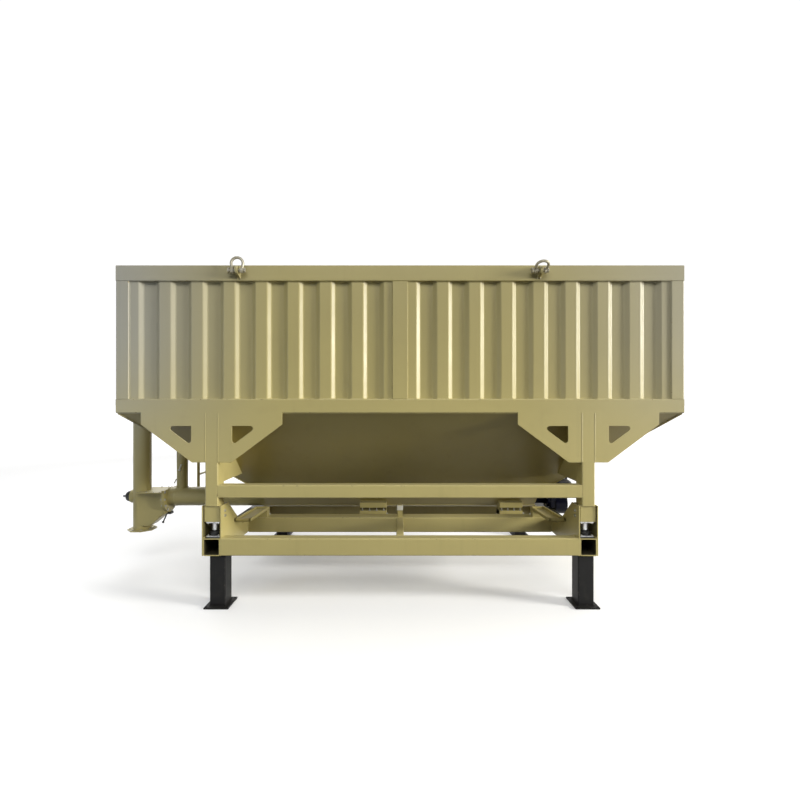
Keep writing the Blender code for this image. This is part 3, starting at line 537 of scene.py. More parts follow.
PALE_PAD = Moulding(
    "pale_stop_pad", "load_cell_metal", (0.78, 0.76, 0.66), (0.58, 0.54, 0.40), 0.6
)
RUBBER = Moulding(
    "black_rubber", "bearing_black", (0.018, 0.018, 0.018), (0.10, 0.095, 0.08), 0.68
)


def arc(centre: Point, radius: float, first: float, last: float, steps: int) -> list:
    """Points of a round stretch in a plane.

    Args:
        centre: the middle of the round.
        radius: its radius.
        first: the first angle in radians.
        last: the last angle.
        steps: how many straight steps it has.

    Returns:
        The points as pairs.
    """
    turns = [first + (last - first) * i / steps for i in range(steps + 1)]
    return [(centre[0] + radius * cos(a), centre[1] + radius * sin(a)) for a in turns]


def circle(centre: Point, radius: float, steps: int) -> list:
    """The points of a whole circle in a plane, each of them once."""
    return arc(centre, radius, 0.0, FULL_TURN, steps)[:-1]


def verts_in(parts: Iterable) -> list:
    """The vertices among the parts that an operator made."""
    return [part for part in parts if isinstance(part, bmesh.types.BMVert)]


def faces_at(verts: Iterable) -> list:
    """The faces that touch the vertices."""
    return list({face for vert in verts for face in vert.link_faces})


def outer_face(side: Side, low: Point, high: Point) -> float:
    """The Y of a box's face on the outer side."""
    return low[1] if side is Side.FRONT else high[1]


class Form:
    """The meshes of one piece while it is being modelled."""

    def __init__(self) -> None:
        """Starts with nothing in it."""
        self.bm = bmesh.new()
        self.edge = self.bm.faces.layers.float.new("edge")
        # Mark of the faces that get painted shade, from 0 to 1.
        self.inside = self.bm.faces.layers.float.new("inside")

    def soften(
        self,
        verts: Iterable,
        width: float,
        segments: int = 3,
        angle: float = 32.0,
        along: Axis | None = None,
    ) -> None:
        """Rounds the sharp edges of a shape and marks the rounded faces.

        Args:
            verts: the shape's vertices.
            width: the width of the rounding.
            segments: how many faces it has across.
            angle: how sharp an edge is to be rounded, in degrees.
            along: the direction of the edges that are rounded, where it isn't all of them.
        """
        if not width:
            return
        edges = {e for v in set(verts) for e in v.link_edges}
        limit = radians(angle)
        sharp = [e for e in edges if len(e.link_faces) == 2 and e.calc_face_angle(0.0) > limit]
        if along:
            aims = [(e, (e.verts[1].co - e.verts[0].co).normalized()) for e in sharp]
            sharp = [e for e, aim in aims if abs(aim.dot(along.vector)) > 0.99]
        for face in self.bevel(sharp, width, segments):
            face[self.edge] = 1.0

    def bevel(self, edges: list, width: float, segments: int) -> list:
        """Rounds edges.

        Args:
            edges: the edges.
            width: the width of the rounding.
            segments: how many faces it has across.

        Returns:
            The rounded faces.
        """
        made = bmesh.ops.bevel(
            self.bm,
            geom=edges,
            offset=width,
            offset_type="OFFSET",
            affect="EDGES",
            segments=segments,
            profile=0.5,
            material=-1,
            clamp_overlap=True,
        )
        return made["faces"]

    def box(
        self,
        corner: Point,
        other: Point,
        width: float = 0.002,
        segments: int = 3,
        along: Axis | None = None,
    ) -> None:
        """A box with rounded edges.

        Args:
            corner: one of its corners.
            other: the corner across from it.
            width: the width of the rounding.
            segments: how many faces the rounding has across.
            along: the direction of the edges that are rounded, where it isn't all of them.
        """
        low = Vector(map(min, zip(corner, other)))
        high = Vector(map(max, zip(corner, other)))
        verts = bmesh.ops.create_cube(self.bm, size=1.0)["verts"]
        bmesh.ops.scale(self.bm, vec=high - low, verts=verts)
        bmesh.ops.translate(self.bm, vec=(low + high) / 2, verts=verts)
        self.soften(verts, width, segments, along=along)

    def round_bar(
        self,
        start: Point,
        end: Point,
        radius: float,
        sides: int = 32,
        end_radius: float | None = None,
        width: float = 0.0,
        turn: float = 0.0,
    ) -> None:
        """A cylinder, cone or flat-sided bar between two points.

        Args:
            start: the middle of its first end.
            end: the middle of its other end.
            radius: its radius, to the corners of a flat-sided one.
            sides: how many sides it has.
            end_radius: the radius at its other end, where it differs.
            width: how far the rims are rounded.
            turn: how far it is turned about itself, in radians.
        """
        start, end = Vector(start), Vector(end)
        along = end - start
        aim = along.to_track_quat("Z", "Y").to_matrix().to_4x4()
        matrix = Matrix.Translation((start + end) / 2) @ aim @ Matrix.Rotation(turn, 4, "Z")
        made = bmesh.ops.create_cone(
            self.bm,
            cap_ends=True,
            segments=sides,
            radius1=radius,
            radius2=radius if end_radius is None else end_radius,
            depth=along.length,
            matrix=matrix,
        )
        self.soften(made["verts"], width, 2, 50.0 if sides > 8 else 32.0)

    def closed_line(self, points: Iterable[Point]) -> list:
        """The edges of a new closed line."""
        verts = [self.bm.verts.new(point) for point in points]
        return [self.bm.edges.new(pair) for pair in zip(verts, verts[1:] + verts[:1])]

    def _draw_out(self, faces: list, thickness: Point, width: float) -> None:
        """Makes flat faces solid.

        Args:
            faces: the faces.
            thickness: how far and in which direction they are drawn out.
            width: how far the edges are rounded.
        """
        rims = {v for f in faces for v in f.verts}
        moved = verts_in(bmesh.ops.extrude_face_region(self.bm, geom=faces)["geom"])
        bmesh.ops.translate(self.bm, vec=thickness, verts=moved)
        verts = rims | set(moved)
        bmesh.ops.recalc_face_normals(self.bm, faces=faces_at(verts))
        self.soften(verts, width, 2)

    def slab(
        self, corners: Sequence[Point], thickness: Point, width: float = PLATE_ROUND
    ) -> None:
        """A flat outline made solid.

        Args:
            corners: the outline's points in space.
            thickness: how far and in which direction it is drawn out.
            width: how far its edges are rounded.
        """
        face = self.bm.faces.new([self.bm.verts.new(c) for c in corners])
        face.normal_update()
        if face.normal.dot(Vector(thickness)) > 0:
            face.normal_flip()
        self._draw_out([face], thickness, width)

    def pierced_slab(
        self, loops: Sequence[Sequence[Point]], thickness: Point, width: float
    ) -> None:
        """A flat plate with holes.

        Args:
            loops: its outline and then its holes, as points in space.
            thickness: how far and in which direction it is drawn out.
            width: how far its edges are rounded.
        """
        edges = [edge for loop in loops for edge in self.closed_line(loop)]
        rims = {v for e in edges for v in e.verts}
        bmesh.ops.triangle_fill(self.bm, use_beauty=True, use_dissolve=False, edges=edges)
        self._draw_out(faces_at(rims), thickness, width)

    def turned(self, profile: Outline, start: Point, axis: Point, steps: int = 40) -> None:
        """A turned shape.

        Args:
            profile: pairs of distance along the axis and radius, from end to end.
            start: where the distances start.
            axis: the axis.
            steps: how many sides it has.
        """
        start, axis = Vector(start), Vector(axis).normalized()
        out = axis.orthogonal().normalized()
        known = set(self.bm.verts)
        verts = [self.bm.verts.new(start + axis * a + out * r) for a, r in profile]
        edges = [self.bm.edges.new(pair) for pair in zip(verts, verts[1:])]
        bmesh.ops.spin(
            self.bm,
            geom=verts + edges,
            cent=start,
            axis=axis,
            angle=FULL_TURN,
            steps=steps,
            use_merge=True,
        )
        mine = [v for v in self.bm.verts if v not in known]
        bmesh.ops.remove_doubles(self.bm, verts=mine, dist=1e-6)
        mine = [v for v in self.bm.verts if v not in known]
        bmesh.ops.recalc_face_normals(self.bm, faces=faces_at(mine))

    def rod(self, path: Sequence[Point], radius: float, sides: int = 16) -> None:
        """A round rod or pipe along a line of points, closed at both ends.

        Args:
            path: the points along its middle.
            radius: its radius.
            sides: how many sides it has.
        """
        path = [Vector(p) for p in path]
        legs = [(b - a).normalized() for a, b in zip(path, path[1:])]
        aims = [legs[0]] + [(a + b).normalized() for a, b in zip(legs, legs[1:])] + [legs[-1]]
        turn = legs[0].to_track_quat("Z", "Y")
        matrix = Matrix.Translation(path[0]) @ turn.to_matrix().to_4x4()
        mine = bmesh.ops.create_circle(
            self.bm, cap_ends=False, segments=sides, radius=radius, matrix=matrix
        )["verts"]
        first = list({e for v in mine for e in v.link_edges})
        edges, mine = first, list(mine)
        for i in range(1, len(path)):
            made = bmesh.ops.extrude_edge_only(self.bm, edges=edges)["geom"]
            verts = verts_in(made)
            twist = aims[i - 1].rotation_difference(aims[i]).to_matrix()
            for v in verts:
                v.co = path[i] + twist @ (v.co - path[i - 1])
            edges = [part for part in made if isinstance(part, bmesh.types.BMEdge)]
            edges = [e for e in edges if all(v in verts for v in e.verts)]
            mine += verts
        for rim in (first, edges):
            bmesh.ops.holes_fill(self.bm, edges=rim, sides=sides)
        bmesh.ops.recalc_face_normals(self.bm, faces=faces_at(mine))

    def seam(self, start: Point, end: Point, size: float = 0.004) -> None:
        """A weld bead.

        Args:
            start: the middle of its first end.
            end: the middle of its other end.
            size: its radius.
        """
        start, end = Vector(start), Vector(end)
        steps = max(2, int((end - start).length / 0.06))
        self.rod([start.lerp(end, i / steps) for i in range(steps + 1)], size, 8)

    def bolt(self, place: Point, out: Point, size: float = 0.010) -> None:
        """A hexagon head on its washer.

        Args:
            place: where it sits on the surface.
            out: the direction away from the surface.
            size: the radius of the head, to its corners.
        """
        place, out = Vector(place), Vector(out).normalized()
        start = place + out * size * 0.22
        self.round_bar(place - out * 0.0005, start, size * 1.25, 20, width=size * 0.08)
        turn = (place.x * 37.0 + place.y * 53.0 + place.z * 71.0) % (pi / 3)
        self.round_bar(start, start + out * size * 0.75, size, 6, width=size * 0.09, turn=turn)

    def nut_and_stud(self, place: Point, out: Point, size: float = 0.010) -> None:
        """A nut on its washer with the end of its stud.

        Args:
            place: where it sits on the surface.
            out: the direction away from the surface.
            size: the radius of the nut, to its corners.
        """
        place, out = Vector(place), Vector(out).normalized()
        self.bolt(place, out, size)
        self.round_bar(place, place + out * size * 1.5, size * 0.5, 14, width=size * 0.07)

    def bolt_circle(
        self, centre: Point, out: Point, radius: float, count: int, size: float, first: float = 0.0
    ) -> None:
        """Bolts on a circle.

        Args:
            centre: the middle of the circle.
            out: the direction away from the surface.
            radius: the circle's radius.
            count: how many bolts it has.
            size: the radius of a head.
            first: the angle of the first one, in radians.
        """
        centre, out = Vector(centre), Vector(out).normalized()
        turn = out.to_track_quat("Z", "Y")
        for x, y in arc((0.0, 0.0), radius, first, first + FULL_TURN, count)[:-1]:
            self.bolt(centre + turn @ Vector((x, y, 0.0)), out, size)

    def move(self, matrix: Matrix) -> None:
        """Turns and shifts all that is in the form."""
        bmesh.ops.transform(self.bm, matrix=matrix, verts=self.bm.verts[:])

    def finish(
        self, name: str, finish: Finish, *nodes: str, body: str = "root", slot: str = ""
    ) -> None:
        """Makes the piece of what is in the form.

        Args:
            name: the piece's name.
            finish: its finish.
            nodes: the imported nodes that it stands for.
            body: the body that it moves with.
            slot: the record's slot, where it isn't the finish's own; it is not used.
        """
        mesh = bpy.data.meshes.new(name)
        self.bm.to_mesh(mesh)
        self.bm.free()
        mesh.shade_smooth()
        mesh.set_sharp_from_angle(angle=radians(38))
        mesh.materials.append(finish.material())
        piece = bpy.data.objects.new(name, mesh)
        bpy.context.scene.collection.objects.link(piece)
        weights = piece.modifiers.new("flat faces stay flat", "WEIGHTED_NORMAL")
        weights.keep_sharp = True
        weights.weight = 60
        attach(piece, body)
        if nodes:
            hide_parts(*nodes)
        log.info("%s: %d faces", name, len(mesh.polygons))


def square_tube(node: str, name: str, radius: float) -> None:
    """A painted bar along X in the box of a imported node, rounded as a drawn tube is.

    Args:
        node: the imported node.
        name: the piece's name.
        radius: the radius of its long edges.
    """
    form = Form()
    form.box(*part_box(node), radius, along=Axis.X)
    form.finish(name, KHAKI, node)


def welded_beam(side: Side, node: str, sink: float) -> None:
    """A square beam along X with weld beads at its two ends.

    Args:
        side: the side that it lies on.
        node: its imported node.
        sink: how far the beads on its top face are sunk in it.
    """
    square_tube(node, f"{node}_tube", BEAM_ROUND)
    low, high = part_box(node)
    seams = Form()
    y, z = outer_face(side, low, high) - side.sign * 0.004, high.z - sink
    for x in (low.x + 0.001, high.x - 0.001):
        seams.seam((x, y, low.z + 0.008), (x, y, high.z - 0.008), 0.0045)
        seams.seam((x, low.y + 0.008, z), (x, high.y - 0.008, z), 0.004)
    seams.finish(f"{node}_seams", KHAKI_SEAM)


@dataclass
class StorageBody:
    """The corrugated box on top: rails, posts, wall sheets, end walls and roof."""

    tube_radius: float = 0.008
    post_size: float = 0.100
    post_round: float = 0.0025
    sheet: float = 0.003
    recess: float = 0.012
    wave_depth: float = 0.025
    wave_pitch: float = 0.248
    wave_slope: float = 0.030
    wave_flat: float = 0.098
    waves: int = 8
    bend: float = 0.007
    seam_size: float = 0.0035
    roof_seam: float = 0.004
    roof_sheets: int = 3

    def profile(self, width: float) -> list[tuple[float, float]]:
        """The sheet's line: pairs of distance along the wall and depth.

        Args:
            width: the width that the waves are centred in.

        Returns:
            The points of the line.
        """
        wave = 2 * self.wave_slope + self.wave_flat
        edge = (width - (self.waves - 1) * self.wave_pitch - wave) / 2
        points = [(0.0, 0.0)]
        for i in range(self.waves):
            start = edge + i * self.wave_pitch
            points += [
                (start, 0.0),
                (start + self.wave_slope, self.wave_depth),
                (start + self.wave_slope + self.wave_flat, self.wave_depth),
                (start + wave, 0.0),
            ]
        return points + [(width, 0.0)]

    def corrugate(self, name: str, line: list, z: tuple[float, float], *nodes: str) -> None:
        """A corrugated sheet with rounded bends that stands on a line.

        Args:
            name: the piece's name.
            line: its points in the floor plane, along its middle.
            z: its lower and upper edge.
            nodes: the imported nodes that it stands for.
        """
        form = Form()
        bm = form.bm
        verts = [bm.verts.new((x, y, z[0])) for x, y in line]
        edges = [bm.edges.new(pair) for pair in zip(verts, verts[1:])]
        moved = verts_in(bmesh.ops.extrude_edge_only(bm, edges=edges)["geom"])
        bmesh.ops.translate(bm, vec=(0, 0, z[1] - z[0]), verts=moved)
        bmesh.ops.recalc_face_normals(bm, faces=bm.faces[:])
        bends = [
            e for e in bm.edges if len(e.link_faces) == 2 and e.calc_face_angle(0.0) > radians(10)
        ]
        form.bevel(bends, self.bend, 3)
        bmesh.ops.solidify(bm, geom=bm.faces[:], thickness=self.sheet)
        form.finish(name, KHAKI, *nodes)

    def sheet_seams(
        self, name: str, line: list, out: Point, z: tuple[float, float], uprights: list
    ) -> None:
        """The weld beads where a wall's sheet meets its rails and posts.

        Args:
            name: the piece's name.
            line: the sheet's line in the floor plane.
            out: the step from that line to the sheet's outer face.
            z: the sheet's lower and upper edge.
            uprights: where the upright beads stand.
        """
        seams = Form()
        size = self.seam_size
        for level in (z[0] + size * 0.4, z[1] - size * 0.4):
            points = [Vector((x + out[0], y + out[1], level)) for x, y in line]
            for a, b in zip(points, points[1:]):
                if (b - a).length > 1e-5:
                    seams.seam(a, b, size)
        for x, y in uprights:
            seams.seam((x, y, z[0]), (x, y, z[1]), size)
        seams.finish(name, KHAKI_SEAM)

    def long_wall(self, side: Side) -> None:
        """One long wall's sheet, its lower rail and the post before its middle.

        Args:
            side: the side that it is on.
        """
        s, word = side.sign, side.label
        low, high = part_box(f"wall_sheet_{word}")
        post_low, post_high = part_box(f"centre_post_{word}")
        rail_low, rail_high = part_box(f"bottom_rail_{word}")
        middle = (post_low.x + post_high.x) / 2
        half_post = (post_high.x - post_low.x) / 2
        half_wall = (rail_high.x - rail_low.x) / 2 - self.post_size - half_post
        depth = abs(outer_face(side, rail_low, rail_high)) - self.recess - self.sheet / 2
        waves = [(half_post + a, s * (depth - d)) for a, d in self.profile(half_wall)]
        waves[-1] = (waves[-1][0] - HAIR, waves[-1][1])
        line = [(middle - x, y) for x, y in reversed(waves)]
        line += [(middle + x, y) for x, y in waves]
        z = (low.z, high.z)
        self.corrugate(f"wall_corrugations_{word}", line, z, f"wall_sheet_{word}")
        square_tube(f"bottom_rail_{word}", f"lower_rail_{word}", self.tube_radius)
        post = Form()
        post.box(post_low, post_high, self.post_round)
        post.finish(f"middle_post_{word}", KHAKI, f"centre_post_{word}")
        ends = (line[0][0], middle - half_post, middle + half_post, line[-1][0])
        y = line[0][1] + s * self.sheet / 2
        uprights = [(x + a * self.seam_size * 0.4, y) for x, a in zip(ends, (1, -1, 1, -1))]
        self.sheet_seams(f"wall_seams_{word}", line, (0.0, s * self.sheet / 2), z, uprights)

    def end_wall(self, end: End) -> None:
        """One end wall: corner posts, rails, sheet and their seams.

        Args:
            end: the end that it is on.
        """
        e = end.sign
        low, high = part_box(f"end_wall_{end.label}")
        sheet_low, sheet_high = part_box("wall_sheet_front")
        z = (sheet_low.z, sheet_high.z)
        outer = high.x if e > 0 else low.x
        inner = outer - e * self.post_size
        between = high.y - self.post_size
        form = Form()
        for s in (-1, 1):
            corners = ((outer, s * high.y, z[0]), (inner, s * between, z[1]))
            form.box(*corners, self.tube_radius, along=Axis.Z)
        reach = between - HAIR
        for foot, top in ((low.z, z[0] + 0.001), (z[1] - 0.001, high.z)):
            corners = ((outer, -reach, foot), (inner, reach, top))
            form.box(*corners, self.tube_radius, along=Axis.Y)
        form.finish(f"end_frame_{end.label}", KHAKI, f"end_wall_{end.label}")
        face = outer - e * (self.recess + self.sheet / 2)
        line = [(face - e * d, a - between) for a, d in self.profile(2 * between)]
        self.corrugate(f"end_corrugations_{end.label}", line, z)
        out = e * self.sheet / 2
        reach = between - self.seam_size * 0.4
        uprights = [(line[0][0] + out, y) for y in (-reach, reach)]
        self.sheet_seams(f"end_seams_{end.label}", line, (out, 0.0), z, uprights)

    def roof(self) -> None:
        """The roof plate's sheets with their seams."""
        low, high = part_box("roof_plate")
        form = Form()
        step = (high.x - low.x) / self.roof_sheets
        joints = [low.x + i * step for i in range(self.roof_sheets)]
        for start in joints:
            top = (start + step - 0.0005, high.y, high.z - 0.001)
            form.box((start, low.y, low.z), top, 0.001)
        form.finish("roof_sheets", KHAKI, "roof_plate")
        seams = Form()
        z = high.z - 0.002
        for x in joints + [high.x]:
            seams.seam((x, low.y, z), (x, high.y, z), self.roof_seam)
        for y in (low.y, high.y):
            seams.seam((low.x, y, z), (high.x, y, z), self.roof_seam)
        seams.finish("roof_seams", KHAKI_SEAM)

    def build(self) -> None:
        """Builds the storage body."""
        for side in Side:
            self.long_wall(side)
        for end in End:
            self.end_wall(end)
        self.roof()


@dataclass
class LiftingGear:
    """The lugs on the top rails and the shackles in them."""

    rail_depth: float = 0.100
    rail_round: float = 0.008
    lug_plate: float = 0.020
    lug_radius: float = 0.034
    lug_low_z: float = 2.545
    pin_radius: float = 0.0125
    pin_out: float = 0.042
    pin_length: float = 0.128
    head_radius: float = 0.021
    nut_radius: float = 0.019
    ear_x: float = 0.036
    ear_radius: float = 0.023
    ear_half: float = 0.011
    wire: float = 0.0105
    bow_radius: float = 0.045
    bow_z: float = 0.052
    behind_upright: float = -24.0

    @staticmethod
    def joint(side: Side, end: End) -> dict:
        """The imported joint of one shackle."""
        name = f"shackle_{side.label}_{end.label}_swing"
        return next(joint for joint in frame["joints"] if joint["name"] == name)

    def pin_place(self, side: Side, end: End) -> Vector:
        """The middle of a shackle's pin."""
        return Vector(self.joint(side, end)["pos_m"])

    def lugs(self, side: Side) -> None:
        """A top rail with its two lugs and their fillets.

        Args:
            side: the side that it is on.
        """
        s = side.sign
        node = f"top_rail_{side.label}"
        low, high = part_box(node)
        pins = [self.pin_place(side, end) for end in End]
        face = pins[0].y - s * self.pin_out
        form = Form()
        corners = ((low.x, face, low.z), (high.x, face - s * self.rail_depth, high.z))
        form.box(*corners, self.rail_round, along=Axis.X)
        seams = Form()
        for pin in pins:
            nose = arc((pin.y, pin.z), self.lug_radius, -pi / 2, pi / 2, 16)
            nose = [(pin.y + s * (y - pin.y), z) for y, z in nose]
            root = face - s * 0.010
            rim = [(root, self.lug_low_z), *nose, (root, high.z - 0.006)]
            hole = circle((pin.y, pin.z), self.pin_radius + 0.001, 24)
            x = pin.x - self.lug_plate / 2
            loops = [[(x, y, z) for y, z in loop] for loop in (rim, hole)]
            form.pierced_slab(loops, (self.lug_plate, 0, 0), PLATE_ROUND)
            y = face + s * 0.001
            for x in (pin.x - self.lug_plate / 2, pin.x + self.lug_plate / 2):
                seams.seam((x, y, self.lug_low_z), (x, y, high.z - 0.008), 0.005)
        form.finish(f"upper_rail_{side.label}", KHAKI, node)
        seams.finish(f"lug_seams_{side.label}", KHAKI_SEAM)

    def shackle(self, side: Side, end: End) -> None:
        """One bow shackle: its bow with its ears, and its pin.

        Args:
            side: the side that it is on.
            end: the end that it is on.
        """
        body = f"shackle_{side.label}_{end.label}"
        lean = self.behind_upright - self.joint(side, end)["range_deg"][0]
        tilt = Matrix.Rotation(radians(-side.sign * lean), 4, "X")
        place = Matrix.Translation(self.pin_place(side, end)) @ tilt
        bow = Form()
        top = arc((0.0, self.bow_z), self.bow_radius, pi, 0.0, 24)
        line = [(-self.ear_x, 0.0), *top, (self.ear_x, 0.0)]
        bow.rod([(x, 0.0, z) for x, z in line], self.wire, 16)
        for x in (-self.ear_x, self.ear_x):
            ends = ((x - self.ear_half, 0.0, 0.0), (x + self.ear_half, 0.0, 0.0))
            bow.round_bar(*ends, self.ear_radius, 32, width=0.004)
        bow.move(place)
        bow.finish(f"{body}_bow", SHACKLE, body, body=body)
        pin = Form()
        reach = self.pin_length / 2
        for start, stop, radius, sides, width in (
            (-reach, reach, self.pin_radius, 28, 0.002),
            (-reach - 0.006, -reach + 0.006, self.head_radius, 32, 0.003),
            (reach - 0.012, reach - 0.002, self.nut_radius, 6, 0.0015),
        ):
            pin.round_bar((start, 0, 0), (stop, 0, 0), radius, sides, width=width)
        pin.rod([(reach - 0.001, 0, -0.016), (reach - 0.001, 0, 0.016)], 0.0016, 8)
        pin.move(place)
        pin.finish(f"{body}_pin", SHACKLE, body=body)

    def build(self) -> None:
        """Builds the lifting gear."""
        for side in Side:
            self.lugs(side)
            for end in End:
                self.shackle(side, end)


@dataclass
class Hopper:
    """The hopper's seams and its clean-out doors."""

    foot_z: float = 0.760
    rim_half: float = 1.09
    trough_radius: float = 0.100
    trough_half: float = 1.330
    corner_seam: float = 0.005
    foot_seam: float = 0.0045
    rim_seam: float = 0.004
    door_lip: float = 0.008
    door_sill: float = 0.010
    door_recess: float = 0.026
    door_gap: float = 0.028
    hood_height: float = 0.056
    shadow: float = 0.75
    stud_places: tuple[float, ...] = (0.10, 0.367, 0.634, 0.901)
    knob: tuple = (
        (0.0, 0.0), (0.001, 0.006), (0.004, 0.009), (0.009, 0.009), (0.013, 0.005), (0.014, 0.0)
    )

    def slope(self) -> float:
        """How steep the long slopes are.

        Returns:
            Their angle in radians.
        """
        down = HOPPER_RIM_Z - SCREW_Z
        reach = sqrt(self.rim_half**2 + down**2)
        return atan2(down, self.rim_half) + self.trough_radius / reach

    def wall_y(self, z: float) -> float:
        """How far out the long slopes lie at a height."""
        return self.rim_half - (HOPPER_RIM_Z - z) / tan(self.slope())

    def seams(self) -> None:
        """The weld beads along the hopper's rim, corners and trough."""
        trough_low, trough_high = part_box("screw_trough")
        slope_low, slope_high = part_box("hopper_slope_front")
        middle = (trough_low.x + trough_high.x) / 2
        rim_x = (slope_high.x - slope_low.x) / 2
        angle = self.slope()
        form = Form()
        for s, e in CORNERS:
            low = (middle + e * self.trough_half, s * self.wall_y(self.foot_z), self.foot_z)
            high = (middle + e * rim_x, s * self.rim_half, HOPPER_RIM_Z - 0.004)
            form.seam(low, high, self.corner_seam)
        for s in (-1, 1):
            y = s * (self.trough_radius * sin(angle) + 0.0005)
            z = SCREW_Z - self.trough_radius * cos(angle)
            reach = self.trough_half
            form.seam((middle - reach, y, z), (middle + reach, y, z), self.foot_seam)
            y = s * (self.rim_half - 0.001)
            z = HOPPER_RIM_Z - 0.001
            form.seam((middle - rim_x, y, z), (middle + rim_x, y, z), self.rim_seam)
        for e in (-1, 1):
            x = middle + e * (self.trough_half + 0.001)
            y = self.wall_y(self.foot_z)
            form.seam((x, -y, self.foot_z), (x, y, self.foot_z), self.foot_seam)
        form.finish("hopper_seams", KHAKI_SEAM)

    def dress_plates(self) -> None:
        """Gives the hopper's packed plates their paint."""
        slopes = [f"hopper_slope_{word}" for word in ("front", "rear", "left", "right")]
        for name in slopes + ["screw_trough", "trough_end_left", "trough_end_right"]:
            # The long and end slopes take the khaki's dimmer copy, as painted shade.
            finish = KHAKI_IN_PAINTED_SHADE if name in slopes else KHAKI
            materials = frame["nodes"][name].data.materials
            materials.clear()
            materials.append(finish.material())

    def door(self, end: End) -> None:
        """A clean-out door: its neck with a hood, its cover, studs, nuts and latch knobs.

        Args:
            end: the end that it is on.
        """
        node = f"clean_out_door_{end.label}"
        low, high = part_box(node)
        x_low, x_high = low.x + self.door_lip, high.x - self.door_lip
        front, lip = low.y + self.door_recess, low.y + 0.003
        foot = low.z + self.door_sill
        hood_low = high.z - self.hood_height
        cover_top = hood_low - self.door_gap
        out = self.trough_radius + 0.0005
        round_part = [(-out * sin(a), SCREW_Z - out * cos(a)) for a in map(radians, (42, 30, 22))]
        profile = [(front, foot), (front, high.z), (-self.wall_y(high.z), high.z), *round_part]
        profile += [(high.y, round_part[-1][1]), (high.y, foot)]
        neck = Form()
        neck.slab([(x_low, y, z) for y, z in profile], (x_high - x_low, 0, 0), 0.002)
        # Painted shade on the neck's front face in the gap under the hood.
        for wall in neck.bm.faces:
            if wall.calc_center_median().y < front + 0.001:
                wall[neck.inside] = self.shadow
        neck.box((x_low, lip, hood_low), (x_high, front + 0.01, high.z - 0.006), 0.004)
        neck.finish(f"{node}_neck", KHAKI, node)
        cover = Form()
        cover.box(low, (high.x, high.y, foot - 0.0008), 0.002)
        cover.box((x_low, lip, foot - 0.002), (x_high, high.y, cover_top), 0.003)
        cover.finish(f"{node}_cover", KHAKI)
        bolts = Form()
        y = low.y + 0.012
        for share in self.stud_places:
            x = x_low + (x_high - x_low) * share
            bolts.round_bar((x, y, cover_top - 0.004), (x, y, hood_low + 0.002), 0.004, 12)
            bolts.bolt((x, y, cover_top), UP, 0.008)
        for x, z in ((high.x - 0.003, low.z + 0.036), (low.x + 0.003, low.z + 0.014)):
            y = low.y + 0.016
            bolts.round_bar((x, y, z), (x, y - 0.008, z), 0.006, 14)
            bolts.turned(self.knob, (x, y, z), (0, -1, 0), 20)
        bolts.finish(f"{node}_bolts", BOLT)

    def build(self) -> None:
        """Builds the hopper's pieces."""
        self.dress_plates()
        self.seams()
        for end in End:
            self.door(end)


